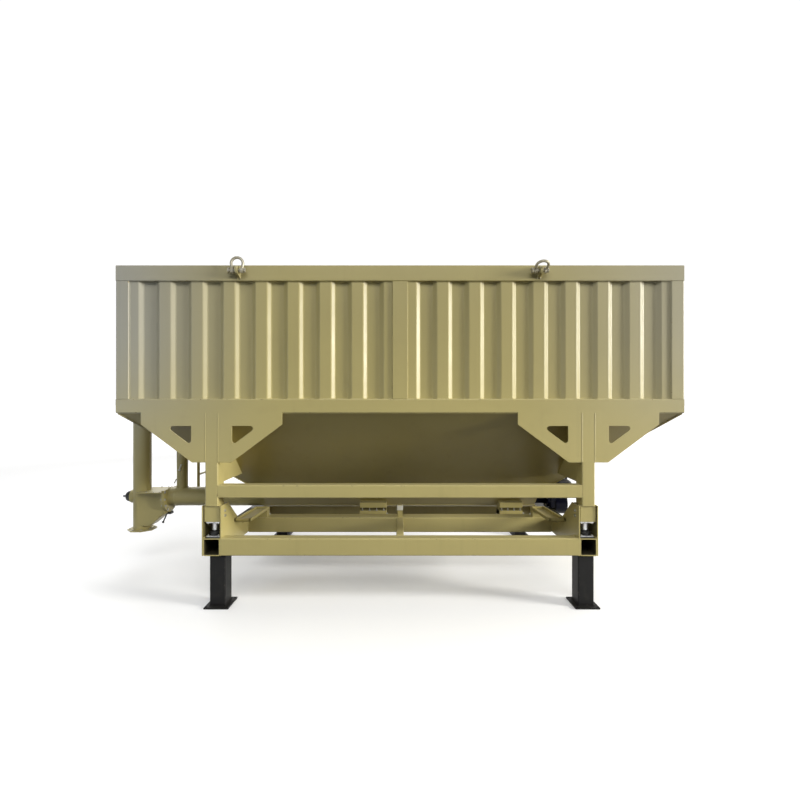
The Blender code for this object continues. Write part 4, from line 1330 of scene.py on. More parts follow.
@dataclass
class LegFrame:
    """The legs with their gusset wings, saddle plates and caps, and the beams between them."""

    width: float = 0.100
    depth: float = 0.130
    cap_width: float = 0.120
    cap_depth: float = 0.140
    cap_low_z: float = 0.671
    cap_high_z: float = 0.797
    cap_round: float = 0.004
    cheek: float = 0.010
    gusset: float = 0.010
    gusset_out: float = 0.0003
    cover: float = 0.010
    top_half: float = 0.544
    foot_half: float = 0.151
    shoulder_z: float = 1.4245
    foot_z: float = 1.132
    hole_near: float = 0.157
    hole_top: float = 1.413
    hole_low: float = 1.262
    rounding: float = 0.020
    saddle_in: float = 0.022
    saddle: float = 0.010
    beam_top: float = 0.957
    post_seam: float = 0.0045
    cap_seam: float = 0.0035
    hopper: Hopper = field(default_factory=Hopper)

    def rounded(self, corners: list, radius: float) -> list[tuple[float, float]]:
        """A flat outline with some of its corners rounded.

        Args:
            corners: points with a mark on those to round.
            radius: the rounding's radius.

        Returns:
            The outline's points.
        """
        points = []
        for i, (corner, is_round) in enumerate(corners):
            here = Vector(corner)
            if not is_round:
                points.append(tuple(here))
                continue
            before = (Vector(corners[i - 1][0]) - here).normalized()
            after = (Vector(corners[(i + 1) % len(corners)][0]) - here).normalized()
            half = before.angle(after) / 2
            middle = here + (before + after).normalized() * (radius / sin(half))
            first = here + before * (radius / tan(half)) - middle
            last = here + after * (radius / tan(half)) - middle
            sweep = first.angle_signed(last)
            for step in range(9):
                spoke = first.copy()
                spoke.rotate(Matrix.Rotation(-sweep * step / 8, 2))
                points.append(tuple(middle + spoke))
        return points

    def gusset_loops(self, x: float, y: float) -> list[list[Point]]:
        """The outline and the two holes of a leg's gusset plate.

        Args:
            x: the leg's middle.
            y: the plate's outer face.

        Returns:
            The three loops as points in space.
        """
        half = [
            (self.top_half, HOPPER_RIM_Z + self.cover),
            (self.top_half, self.shoulder_z),
            (self.foot_half, self.foot_z),
        ]
        loops = [[(x + a, z) for a, z in half] + [(x - a, z) for a, z in half[::-1]]]
        fall = (self.shoulder_z - self.foot_z) / (self.top_half - self.foot_half)
        far = self.hole_near + (self.hole_top - self.hole_low) / fall
        for hand in (-1, 1):
            corners = [
                ((x + hand * self.hole_near, self.hole_top), False),
                ((x + hand * far, self.hole_top), True),
                ((x + hand * self.hole_near, self.hole_low), True),
            ]
            loops.append(self.rounded(corners, self.rounding))
        return [[(a, y, b) for a, b in loop] for loop in loops]

    def leg(self, side: Side, end: End) -> None:
        """One leg with all that is welded to it.

        Args:
            side: the side that it is on.
            end: the end that it is on.
        """
        s = side.sign
        node = f"leg_{side.label}_{end.label}"
        low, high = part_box(node)
        x = (low.x + high.x) / 2
        face = outer_face(side, low, high)
        form = Form()
        half = self.width / 2
        foot = (x - half, face, self.cap_high_z - 0.002)
        top = (x + half, face - s * self.depth, HOPPER_RIM_Z - HAIR)
        form.box(foot, top, BEAM_ROUND, along=Axis.Z)
        front = face - s * self.cheek
        half = self.cap_width / 2
        foot = (x - half, front, self.cap_low_z)
        form.box(foot, (x + half, front - s * self.cap_depth, self.cap_high_z), self.cap_round)
        plate = face + s * self.gusset_out
        thickness = (0, -s * self.gusset, 0)
        form.pierced_slab(self.gusset_loops(x, plate), thickness, PLATE_ROUND)
        near = abs(face) - self.depth / 2
        near_z = HOPPER_RIM_Z - (self.hopper.rim_half - near) * tan(self.hopper.slope())
        beam_z = self.beam_top + HAIR
        outline = [(near, beam_z), (near, near_z - 0.001)]
        outline.append((self.hopper.wall_y(self.beam_top) - 0.001, beam_z))
        saddle_x = x - end.sign * self.saddle_in - self.saddle / 2
        form.slab([(saddle_x, s * y, z) for y, z in outline], (self.saddle, 0, 0))
        form.finish(f"{node}_post", KHAKI, node)
        seams = Form()
        y, z = plate - s * 0.0025, self.cap_high_z
        for hand in (-1, 1):
            a = x + hand * (self.width / 2 - 0.001)
            seams.seam((a, y, self.foot_z), (a, y, HOPPER_RIM_Z), self.post_seam)
            a = x + hand * (self.width / 2 + 0.001)
            seams.seam((a, front, z), (a, front - s * 0.115, z), self.cap_seam)
        seams.finish(f"{node}_seams", KHAKI_SEAM)

    def build(self) -> None:
        """Builds the legs and the beams between them."""
        for side in Side:
            for end in End:
                self.leg(side, end)
            welded_beam(side, f"mid_beam_{side.label}", 0.001)


@dataclass
class LoadCells:
    """The load cells between the leg caps and the side beams."""

    plate: float = 0.012
    base_radius: float = 0.046
    base_height: float = 0.034
    bore: float = 0.018
    column_radius: float = 0.027
    bolt_reach: float = 0.041
    bolt_size: float = 0.008

    def cell(self, side: Side, end: End) -> None:
        """One load cell: plates, round base, rocker column and bolts.

        Args:
            side: the side that it is on.
            end: the end that it is on.
        """
        node = f"load_cell_{side.label}_{end.label}"
        low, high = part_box(node)
        x, y = (low.x + high.x) / 2, (low.y + high.y) / 2
        foot, top = low.z + self.plate, high.z - self.plate
        plates = Form()
        plates.box(low, (high.x, high.y, foot), THIN_ROUND)
        plates.box((low.x, low.y, top), high, THIN_ROUND)
        r, neck, reach = self.column_radius, self.base_height, top - foot
        profile = [
            (0.0, 0.0),
            (0.0, r * 0.72),
            (neck, r * 0.72),
            (neck + 0.006, r),
            (reach - 0.012, r),
            (reach - 0.004, r * 0.86),
            (reach, r * 0.80),
            (reach, 0.0),
        ]
        plates.turned(profile, (x, y, foot), UP)
        plates.finish(f"{node}_plates", PLATED, node)
        base = Form()
        r = self.base_radius
        profile = [
            (0.0, self.bore),
            (0.0, r),
            (neck * 0.55, r),
            (neck * 0.7, r * 0.93),
            (neck, r * 0.66),
            (neck, self.bore),
        ]
        base.turned(profile, (x, y, foot), UP)
        z = foot + 0.012
        base.round_bar((x, y, z), (x + 0.050, y, z), 0.009, 16, width=0.001)
        base.finish(f"{node}_base", BLACK)
        bolts = Form()
        for a, b in CORNERS:
            place = (x + a * self.bolt_reach, y + b * self.bolt_reach)
            bolts.bolt((*place, foot), UP, self.bolt_size)
            bolts.bolt((*place, top), DOWN, self.bolt_size)
        bolts.finish(f"{node}_bolts", BOLT)

    def build(self) -> None:
        """Builds the four load cells."""
        for side in Side:
            for end in End:
                self.cell(side, end)


@dataclass
class BaseFrame:
    """The base frame: side beams, cross beams, brackets and feet."""

    bottom_z: float = 0.412
    top_z: float = 0.547
    width: float = 0.130
    wall: float = 0.008
    tube_round: float = 0.012
    bore_round: float = 0.006
    cheek: float = 0.010
    cheek_top: float = 0.150
    cheek_foot: float = 0.480
    cheek_top_z: float = 0.797
    cheek_shadow: float = 0.75
    cheek_bolts: tuple[float, float] = (0.05, 0.09)
    beam_face: float = 0.430
    beam_depth: float = 0.150
    tie_width: float = 0.060
    tie_height: float = 0.080
    stop: float = 0.045
    stop_y: float = 0.380
    stop_top: float = 0.655
    pad: float = 0.056
    pad_height: float = 0.044
    bracket_far_x: tuple[float, float] = (1.214, 1.344)
    bracket_near_x: tuple[float, float] = (1.240, 1.3767)
    bracket_y: tuple[float, float] = (0.345, 0.816)
    bracket_top: float = 0.632
    bracket_plate: float = 0.025
    bracket_web: float = 0.008
    bracket_rim: float = 0.014
    bracket_foot: float = 0.075
    foot_half: tuple[float, float] = (0.062, 0.070)
    foot_plate: float = 0.012
    foot_head: float = 0.010
    foot_hole: float = 0.009
    foot_holes: tuple[float, float] = (0.080, 0.092)

    def ring(self, x: float, inset: float, radius: float, y: float) -> list[Point]:
        """A rounded rectangle across Y.

        Args:
            x: its middle.
            inset: how far it lies within the side beam's outer faces.
            radius: the radius of its corners.
            y: where it lies.

        Returns:
            Its points in space.
        """
        reach = self.width / 2 - inset - radius
        z0, z1 = self.bottom_z + inset + radius, self.top_z - inset - radius
        places = ((x + reach, z0), (x + reach, z1), (x - reach, z1), (x - reach, z0))
        points = []
        for quarter, centre in enumerate(places):
            start = (quarter - 1) * pi / 2
            points += arc(centre, radius, start, start + pi / 2, 5)
        return [(a, y, b) for a, b in points]

    def open_tube(self, form: Form, x: float, y: tuple[float, float]) -> None:
        """A side beam's tube, open at both ends, with painted shade on its inner faces.

        Args:
            form: the form that takes it.
            x: its middle.
            y: its two ends.
        """
        bm = form.bm
        edges = form.closed_line(self.ring(x, 0.0, self.tube_round, y[0]))
        edges += form.closed_line(self.ring(x, self.wall, self.bore_round, y[0]))
        faces = bmesh.ops.bridge_loops(bm, edges=edges)["faces"]
        moved = verts_in(bmesh.ops.extrude_face_region(bm, geom=faces)["geom"])
        bmesh.ops.translate(bm, vec=(0, y[1] - y[0], 0), verts=moved)
        bmesh.ops.recalc_face_normals(bm, faces=bm.faces[:])
        # Painted shade: the tube's inner faces are blended to near-black.
        for wall in bm.faces:
            centre = wall.calc_center_median()
            deep = abs(centre.x - x) < self.width / 2 - self.wall + 0.001
            if deep and y[0] + 0.01 < centre.y < y[1] - 0.01:
                wall[form.inside] = 1.0

    def side_beam(self, end: End) -> None:
        """One open-ended side beam with its four cheek plates.

        Args:
            end: the end that it is on.
        """
        node = f"side_beam_{end.label}"
        low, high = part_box(node)
        x, half, reach = (low.x + high.x) / 2, self.width / 2, high.y
        form, seams, bolts = Form(), Form(), Form()
        self.open_tube(form, x, (low.y, high.y))
        outline = [
            (reach, self.bottom_z),
            (reach, self.cheek_top_z),
            (reach - self.cheek_top, self.cheek_top_z),
            (reach - self.cheek_foot, self.top_z),
            (reach - self.cheek_foot, self.bottom_z),
        ]
        far, z = reach - self.cheek_foot, self.top_z + 0.001
        for s, hand in CORNERS:
            corners = [(x + hand * half, s * a, b) for a, b in outline]
            form.slab(corners, (hand * self.cheek, 0, 0))
            a = x + hand * (half - 0.001)
            seams.seam((a, s * (reach - 0.002), z), (a, s * far, z), 0.004)
            a = x + hand * (half + self.cheek)
            for drop in self.cheek_bolts:
                bolts.bolt((a, s * (reach - 0.075), self.cheek_top_z - drop), (hand, 0, 0))
        # Painted shade on the cheek plates' inner faces round the load cells.
        for wall in form.bm.faces:
            centre = wall.calc_center_median()
            if abs(abs(centre.x - x) - half) < 0.0005 and centre.z > self.bottom_z + 0.10:
                wall[form.inside] = self.cheek_shadow
        form.finish(f"{node}_tube", KHAKI, node)
        seams.finish(f"{node}_seams", KHAKI_SEAM)
        bolts.finish(f"{node}_bolts", BOLT)

    def inner_beam(self, side: Side) -> None:
        """An inner beam with its tie, its stop, its brackets and its pad.

        Args:
            side: the side that it is on.
        """
        s = side.sign
        node = f"inner_beam_{side.label}"
        low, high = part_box(node)
        middle, top = (low.x + high.x) / 2, self.top_z
        outer = max(abs(low.y), abs(high.y))
        back = self.beam_face - self.beam_depth
        form = Form()
        corners = ((low.x, s * back, self.bottom_z), (high.x, s * self.beam_face, top))
        form.box(*corners, BEAM_ROUND)
        half, tie_z = self.tie_width / 2, top - self.tie_height
        inner = s * (self.beam_face - 0.002)
        form.box((middle - half, s * outer, tie_z), (middle + half, inner, top), 0.006)
        a, y = self.stop / 2, s * self.stop_y
        form.box((middle - a, y - a, top - 0.002), (middle + a, y + a, self.stop_top), 0.003)
        for e in (-1, 1):
            self.bracket(form, middle, e, s)
        form.finish(f"{node}_tube", KHAKI, node)
        pad = Form()
        a, z = self.pad / 2, self.stop_top - 0.004
        pad.box((middle - a, y - a, z - self.pad_height), (middle + a, y + a, z), 0.005)
        pad.finish(f"{node}_stop_pad", PALE_PAD)
        seams = Form()
        y = s * (self.beam_face - 0.003)
        for x in (low.x + 0.001, high.x - 0.001):
            seams.seam((x, y, low.z + 0.01), (x, y, top - 0.008), 0.005)
        y += s * 0.003
        for x in (middle - half, middle + half):
            seams.seam((x, y, tie_z), (x, y, top - 0.006), 0.004)
        seams.finish(f"{node}_seams", KHAKI_SEAM)

    def bracket(self, form: Form, middle: float, e: int, s: int) -> None:
        """A channel with its open side up, on a block on an inner beam.

        Args:
            form: the form that takes it.
            middle: the frame's middle along X.
            e: the sign of its end.
            s: the sign of its side.
        """
        (far0, far1), (near0, near1) = self.bracket_far_x, self.bracket_near_x
        far, near = self.bracket_y
        top, rim = self.bracket_top, self.bracket_rim
        low = top - self.bracket_plate
        strips = (
            ((far0, far1), (near0, near1), far, near, self.bracket_web),
            ((far0, far0 + rim), (near0, near0 + rim), far, near, top - low),
            ((far1 - rim, far1), (near1 - rim, near1), far, near, top - low),
            ((far0, far1), (far0, far1), far, far + rim, top - low),
            ((near0, near1), (near0, near1), near - rim, near, top - low),
        )
        for (a, b), (c, d), start, stop, height in strips:
            plan = ((a, start), (b, start), (d, stop), (c, stop))
            form.slab([(middle + e * x, s * y, low) for x, y in plan], (0, 0, height))
        corner = (middle + e * far0, s * far, self.top_z - 0.002)
        other = (middle + e * far1, s * (far + self.bracket_foot), low + 0.001)
        form.box(corner, other, 0.003)

    def foot(self, side: Side, end: End) -> None:
        """One black foot: a plate with holes for anchor bolts, a tube, a head plate and seams.

        Args:
            side: the side that it is on.
            end: the end that it is on.
        """
        node = f"foot_{side.label}_{end.label}"
        low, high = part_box(node)
        x, y = (low.x + high.x) / 2, (low.y + high.y) / 2
        (a, b), (hole_x, hole_y) = self.foot_half, self.foot_holes
        form = Form()
        loops = [[(low.x, low.y), (high.x, low.y), (high.x, high.y), (low.x, high.y)]]
        loops += [circle((x + i * hole_x, y + j * hole_y), self.foot_hole, 16) for i, j in CORNERS]
        loops = [[(p, q, 0.0) for p, q in loop] for loop in loops]
        form.pierced_slab(loops, (0, 0, self.foot_plate), THIN_ROUND)
        top, lip = high.z - self.foot_head, 0.010
        form.box((x - a, y - b, 0.011), (x + a, y + b, top + 0.001), 0.010)
        corners = ((x - a - lip, y - b - lip, top), (x + a + lip, y + b + lip, high.z))
        form.box(*corners, PLATE_ROUND)
        z = self.foot_plate + 0.0005
        rim = [(x - a, y - b, z), (x + a, y - b, z), (x + a, y + b, z), (x - a, y + b, z)]
        for start, stop in zip(rim, rim[1:] + rim[:1]):
            form.seam(start, stop)
        form.finish(f"{node}_tube", FOOT_BLACK, node)

    def build(self) -> None:
        """Builds the base frame and the feet."""
        for end in End:
            self.side_beam(end)
        for side in Side:
            welded_beam(side, f"base_beam_{side.label}", 0.0)
            self.inner_beam(side)
            for end in End:
                self.foot(side, end)


@dataclass
class DischargeEnd:
    """The screw tube, the discharge head with its pipes, the bearing and the vent pipe."""

    tube_radius: float = 0.093
    flange_x: float = -2.315
    flange: float = 0.012
    flange_half: float = 0.145
    flange_round_z: float = 0.650
    flange_top_z: float = 0.738
    outlet_x: float = -2.588
    outlet_radius: float = 0.083
    outlet_wall: float = 0.006
    outlet_z: float = 0.328
    outlet_rim: float = 0.133
    outlet_plug: float = 0.350
    chute_half: float = 0.0825
    chute_top: float = 0.720
    chute_mouth: float = 0.500
    knee: tuple[float, float] = (-2.345, 0.486)
    toe: tuple[float, float] = (-2.480, 0.374)
    cover_half: float = 0.165
    riser_foot: float = 0.675
    riser_top: float = 2.300
    bend: float = 0.180
    wall_pad: float = 0.170
    boss: float = 0.065
    bearing_x: float = -2.690
    vent_x: float = -2.187
    vent_radius: float = 0.0525

    @property
    def outlet(self) -> float:
        """The outlet's middle along X."""
        return MIDDLE_X + self.outlet_x

    @property
    def head_face(self) -> float:
        """The end face of the discharge head, at the trough flange."""
        return MIDDLE_X + self.flange_x - HAIR

    def flange_outline(self) -> list[tuple[float, float]]:
        """The trough flange: a flat top and a round foot, as (y, z) pairs."""
        half, top = self.flange_half, self.flange_top_z
        return arc((0.0, self.flange_round_z), half, -pi, 0.0, 20) + [(half, top), (-half, top)]

    def flange_bolts(self) -> list[tuple[float, float]]:
        """The bolts' places on the trough flange, as (y, z) pairs."""
        places = arc((0.0, self.flange_round_z), self.flange_half - 0.018, -pi, 0.0, 6)
        return places + [(y, self.flange_top_z - 0.018) for y in (-0.125, -0.045, 0.045, 0.125)]

    def tube(self) -> None:
        """The screw tube with its flange, sleeve, seams and bolts."""
        end, r = MIDDLE_X + self.flange_x, self.tube_radius
        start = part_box("screw_tube")[1].x
        reach = start - end
        profile = [
            (0.0, 0.0),
            (0.0, r),
            (reach - 0.086, r),
            (reach - 0.084, r + 0.0025),
            (reach - 0.078, r + 0.0025),
            (reach - 0.076, r - 0.002),
            (reach - 0.001, r - 0.002),
            (reach - 0.001, 0.0),
        ]
        form = Form()
        form.turned(profile, (start, 0.0, SCREW_Z), (-1, 0, 0), 64)
        form.slab([(end, y, z) for y, z in self.flange_outline()], (self.flange, 0, 0))
        form.finish("screw_tube_shell", KHAKI, "screw_tube")
        seams = Form()
        for x, radius in ((end + self.flange + 0.002, r - 0.001), (start - 0.004, r)):
            ring = arc((0.0, SCREW_Z), radius, 0.0, FULL_TURN, 40)
            seams.rod([(x, y, z) for y, z in ring], 0.004, 8)
        seams.finish("screw_tube_seams", KHAKI_SEAM)
        bolts = Form()
        for y, z in self.flange_bolts():
            bolts.bolt((end + self.flange, y, z), (1, 0, 0))
            bolts.nut_and_stud((end - self.flange - HAIR, y, z), (-1, 0, 0))
        bolts.finish("trough_flange_bolts", BOLT)

    def head(self) -> None:
        """The discharge head: chute, cover, outlet pipe, flange, riser and wall pad."""
        x, face, half, top = self.outlet, self.head_face, self.chute_half, self.riser_top
        form = Form()
        form.slab([(face, y, z) for y, z in self.flange_outline()], (-self.flange, 0, 0))
        chute = [(face, self.chute_top), (face, self.chute_mouth)]
        chute += [(MIDDLE_X + a, b) for a, b in (self.knee, self.toe)]
        chute += [(x, self.toe[1]), (x, self.chute_top)]
        form.slab([(a, -half, b) for a, b in chute], (0, 2 * half, 0), 0.012)
        corners = (
            (x + 0.02, -self.cover_half, self.chute_top - 0.004),
            (face - 0.001, self.cover_half, self.chute_top + 0.004),
        )
        form.box(*corners, PLATE_ROUND)
        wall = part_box("outlet_pipe")[1].x
        bend = arc((x + self.bend, top - self.bend), self.bend, pi, pi / 2, 14)
        path = [(x, self.riser_foot), *bend, (wall - 0.004, top)]
        form.rod([(a, 0.0, b) for a, b in path], self.outlet_radius, 48)
        r, plug = self.outlet_radius, self.outlet_plug
        inner = r - self.outlet_wall
        deep = SCREW_Z - self.outlet_z - 0.010
        profile = [(0.0, inner), (0.0, r), (plug, r), (plug, 0.0), (deep, 0.0), (deep, inner)]
        form.turned(profile + profile[:1], (x, 0.0, self.outlet_z), UP, 48)
        rim = arc((x, 0.0), self.outlet_rim, pi / 8, pi * 15 / 8, 7)
        hole = circle((x, 0.0), r + 0.0005, 40)
        loops = [[(a, b, self.outlet_z) for a, b in loop] for loop in (rim, hole)]
        form.pierced_slab(loops, (0, 0, self.flange), THIN_ROUND)
        pad = self.wall_pad
        form.box((wall - 0.008, -pad, top - pad), (wall, pad, top + pad), 0.002)
        boss = MIDDLE_X + self.bearing_x + HAIR
        form.round_bar((x, 0, SCREW_Z), (boss, 0, SCREW_Z), self.boss, 40, width=0.003)
        form.finish("discharge_head", KHAKI, "outlet_pipe")
        self.head_seams(wall)
        self.head_bolts(wall)

    def head_seams(self, wall: float) -> None:
        """The weld beads of the discharge head.

        Args:
            wall: where the riser's pad meets the end wall.
        """
        seams = Form()
        x, face = self.outlet, self.head_face
        ring = arc((0.0, 0.0), self.outlet_radius - 0.0005, 0.0, FULL_TURN, 40)
        for path in (
            [(x + a, b, 0.672 - 0.10 * a) for a, b in ring],
            [(x + a, b, self.outlet_z + 0.013) for a, b in ring],
            [(wall - 0.010, a, self.riser_top + b) for a, b in ring],
        ):
            seams.rod(path, 0.0035, 8)
        a, z = face - self.flange - 0.001, self.chute_top - 0.006
        for s in (-1, 1):
            y = s * (self.chute_half - 0.001)
            seams.seam((a, y, self.chute_mouth + 0.004), (a, y, z), 0.0035)
            y -= s * 0.001
            seams.seam((x + 0.030, y, z), (a, y, z), 0.003)
        seams.finish("discharge_head_seams", KHAKI_SEAM)

    def head_bolts(self, wall: float) -> None:
        """The bolts of the outlet flange, the cover and the wall pad.

        Args:
            wall: where the riser's pad meets the end wall.
        """
        x = self.outlet
        bolts = Form()
        foot = (x, 0, self.outlet_z + self.flange)
        bolts.bolt_circle(foot, UP, 0.108, 8, 0.009, pi / 8)
        for y in (-0.150, 0.150):
            for a in (0.12, 0.19, 0.25):
                bolts.bolt((x + a, y, self.chute_top + 0.004), UP, 0.007)
        for a, b in CORNERS:
            place = (wall - 0.008, a * 0.148, self.riser_top + b * 0.148)
            bolts.bolt(place, (-1, 0, 0))
        bolts.finish("discharge_head_bolts", BOLT)

    def bearing(self) -> None:
        """The black end bearing, its bolts and the shaft's end."""
        x = MIDDLE_X + self.bearing_x
        start, left = (x, 0, SCREW_Z), (-1, 0, 0)
        form = Form()
        profile = [
            (0.0, 0.0),
            (0.0, 0.057),
            (0.012, 0.057),
            (0.015, 0.052),
            (0.036, 0.049),
            (0.046, 0.043),
            (0.051, 0.034),
            (0.051, 0.0),
        ]
        form.turned(profile, start, left, 48)
        form.finish("end_bearing_housing", BLACK, "end_bearing")
        shaft = Form()
        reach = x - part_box("end_bearing")[0].x - 0.001
        profile = [(0.0, 0.0), (0.0, 0.012), (reach - 0.003, 0.012), (reach, 0.010), (reach, 0.0)]
        shaft.turned(profile, start, left, 28)
        nut = ((x - 0.050, 0, SCREW_Z), (x - 0.056, 0, SCREW_Z))
        shaft.round_bar(*nut, 0.020, 6, width=0.001)
        shaft.finish("screw_shaft_end", SHAFT)
        bolts = Form()
        bolts.bolt_circle((x - 0.037, 0, SCREW_Z), left, 0.041, 4, 0.006, pi / 4)
        bolts.finish("end_bearing_bolts", BOLT)

    def levers(self) -> None:
        """The latch under the trough flange and the valve on the vent pipe."""
        x = MIDDLE_X + self.flange_x
        latch = Form()
        latch.box((x - 0.034, -0.030, 0.484), (x + 0.026, 0.030, 0.508), 0.003)
        path = [(-0.022, -0.014, 0.487), (-0.034, -0.018, 0.452), (-0.055, -0.020, 0.405)]
        latch.rod([(x + a, y, z) for a, y, z in path], 0.0065, 12)
        latch.finish("chute_latch", BLACK)
        knob = Form()
        profile = [(0.0, 0.0), (0.002, 0.007), (0.008, 0.0115)]
        profile += [(0.022 - a, r) for a, r in profile[::-1]]
        knob.turned(profile, (x - 0.051, -0.020, 0.414), (-0.40, -0.04, -0.91), 24)
        knob.finish("chute_latch_knob", RUBBER)
        x = MIDDLE_X + self.vent_x
        out = -self.vent_radius
        valve = Form()
        hub = (x - 0.002, out + 0.004, 0.930)
        valve.round_bar(hub, (hub[0], out - 0.014, hub[2]), 0.011, 24, width=0.002)
        path = [(-0.002, -0.009, 0.924), (0.004, -0.009, 0.950), (0.020, -0.010, 0.988)]
        valve.rod([(x + a, out + y, z) for a, y, z in path], 0.008, 14)
        valve.finish("vent_valve_lever", PALE_PAD)
        handle = Form()
        path = [(0.010, -0.004, 0.834), (-0.008, -0.006, 0.828), (-0.024, -0.008, 0.790)]
        handle.rod([(x + out + a, y, z) for a, y, z in path], 0.006, 12)
        handle.finish("vent_drain_handle", SHACKLE, slot="load_cell_metal")

    def vent(self) -> None:
        """The vent pipe between the screw tube and the end slope, with its seam on the tube."""
        x = MIDDLE_X + self.vent_x
        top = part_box("vent_pipe")[1].z
        form = Form()
        foot = (x, 0.0, SCREW_Z + self.tube_radius - 0.030)
        form.round_bar(foot, (x, 0.0, top), self.vent_radius, 48)
        form.finish("vent_pipe_wall", KHAKI, "vent_pipe")
        seams = Form()
        ring = arc((x, 0.0), self.vent_radius + 0.001, 0.0, FULL_TURN, 48)
        rise = [sqrt(self.tube_radius**2 - y * y) + 0.001 for _, y in ring]
        seams.rod([(a, y, SCREW_Z + z) for (a, y), z in zip(ring, rise)], 0.004, 8)
        seams.finish("vent_pipe_seam", KHAKI_SEAM)

    def build(self) -> None:
        """Builds the discharge end."""
        self.tube()
        self.head()
        self.bearing()
        self.levers()
        self.vent()


@dataclass
class Drive:
    """The geared motor at the right end."""

    box_x: tuple[float, float] = (1.475, 1.650)
    box_z: tuple[float, float] = (0.560, 0.880)
    half: float = 0.100
    rib_z: tuple[float, ...] = (0.62, 0.70, 0.84)
    lobe_x: float = 1.530
    lobe_radius: float = 0.112
    lobe_z: float = 0.600
    neck: float = 0.070
    neck_flange: float = 0.105
    motor_x: float = 1.524
    motor_z: float = 0.802
    motor_radius: float = 0.088
    cowl: float = 0.070
    fins: int = 30
    fin_half: float = 0.0017

    def reducer(self) -> None:
        """The gear reducer: casing, lobe, neck flange, ribs and bolts."""
        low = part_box("gear_reducer")[0]
        x0, x1 = (MIDDLE_X + x for x in self.box_x)
        z0, z1 = self.box_z
        form = Form()
        form.box((x0, -self.half, z0), (x1, self.half, z1), 0.014, 4)
        for start, stop, z, radius, sides, width in (
            (MIDDLE_X + self.lobe_x, x1, self.lobe_z, self.lobe_radius, 64, 0.008),
            (low.x, x0 + 0.03, SCREW_Z, self.neck, 48, 0.003),
            (x0 - 0.020, x0 + 0.002, SCREW_Z, self.neck_flange, 56, 0.002),
        ):
            form.round_bar((start, 0, z), (stop, 0, z), radius, sides, width=width)
        for s in (-1, 1):
            for z in self.rib_z:
                foot = (x0 + 0.02, s * (self.half - 0.003), z)
                form.box(foot, (x1 - 0.02, s * (self.half + 0.002), z + 0.010), 0.002)
        form.round_bar((x1 - 0.002, 0, self.lobe_z), (x1, 0, self.lobe_z), 0.070, 48)
        form.finish("reducer_casing", NAVY, "gear_reducer")
        bolts = Form()
        bolts.bolt_circle((x0 - 0.020, 0, SCREW_Z), (-1, 0, 0), 0.088, 6, 0.009)
        bolts.bolt_circle((x1 - 0.004, 0, self.lobe_z), (1, 0, 0), 0.084, 8, 0.005)
        bolts.finish("reducer_bolts", BOLT)

    def motor(self) -> None:
        """The motor: finned housing, flange, fan cover and terminal box."""
        x, z, r = MIDDLE_X + self.motor_x, self.motor_z, self.motor_radius
        low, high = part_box("drive_motor")
        front, back = low.y, high.y
        core, cowl = r - 0.014, self.cowl
        form = Form()
        for start, stop, radius in (
            (back, front + cowl, core),
            (back, back - 0.016, r - 0.001),
            (front + cowl + 0.012, front + cowl, r - 0.006),
        ):
            form.round_bar((x, start, z), (x, stop, z), radius, 56, width=0.002)
        for i in range(self.fins):
            a = FULL_TURN * (i + 0.5) / self.fins
            spoke = Vector((cos(a), 0, sin(a)))
            flat = Vector((-sin(a), 0, cos(a))) * self.fin_half
            root = Vector((x, front + cowl + 0.010, z)) + spoke * (core - 0.002)
            tip = root + spoke * (r - 0.001 - core)
            corners = [root - flat, root + flat, tip + flat * 0.6, tip - flat * 0.6]
            form.slab(corners, (0, back - 0.014 - root.y, 0), 0.0)
        foot = (x - 0.045, back - 0.150, z + core - 0.010)
        form.box(foot, (x + 0.045, back - 0.060, z + r - 0.001), 0.006)
        form.finish("motor_housing", NAVY, "drive_motor")
        cover = Form()
        profile = [
            (0.0, 0.0),
            (0.0, 0.020),
            (0.003, 0.024),
            (0.003, 0.034),
            (0.0, 0.038),
            (0.0, 0.048),
            (0.003, 0.052),
            (0.003, 0.062),
            (0.001, r - 0.018),
            (0.006, r - 0.006),
            (0.016, r - 0.001),
            (cowl + 0.002, r - 0.001),
            (cowl + 0.002, r - 0.010),
            (0.024, r - 0.012),
            (0.020, 0.0),
        ]
        cover.turned(profile, (x, front, z), (0, 1, 0), 56)
        cover.finish("motor_fan_cover", BLACK)

    def build(self) -> None:
        """Builds the drive."""
        self.reducer()
        self.motor()


@dataclass
class Ladder:
    """The ladder on the left end."""

    bar: float = 0.016
    rung: float = 0.011
    arm: float = 0.013
    pad: float = 0.030
    low_y: float = 0.520
    high_y: float = 0.920
    first_rung: float = 0.800
    pitch: float = 0.300
    rungs: int = 7
    arm_z: tuple[float, float] = (1.567, 2.5915)

    def build(self) -> None:
        """Builds the ladder with round bars, weld rings and wall pads."""
        low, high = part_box("ladder")
        x, wall, pad = low.x + self.bar, high.x, self.pad
        form = Form()
        for y in (self.low_y, self.high_y):
            form.round_bar((x, y, low.z), (x, y, high.z), self.bar, 24, width=0.003)
            for z in self.arm_z:
                form.round_bar((x, y, z), (wall - 0.001, y, z), self.arm, 20)
                foot = (wall - 0.006, y - pad, z - pad)
                form.box(foot, (wall, y + pad, z + pad), PLATE_ROUND)
        for i in range(self.rungs):
            z = self.first_rung + i * self.pitch
            form.round_bar((x, self.low_y, z), (x, self.high_y, z), self.rung, 20)
            for y, lean in ((self.low_y, 1), (self.high_y, -1)):
                a = y + lean * (self.bar - 0.001)
                ring = ((x, a, z), (x, a + lean * 0.004, z))
                form.round_bar(*ring, self.rung + 0.003, 20, self.rung)
        form.finish("ladder_bars", KHAKI, "ladder")


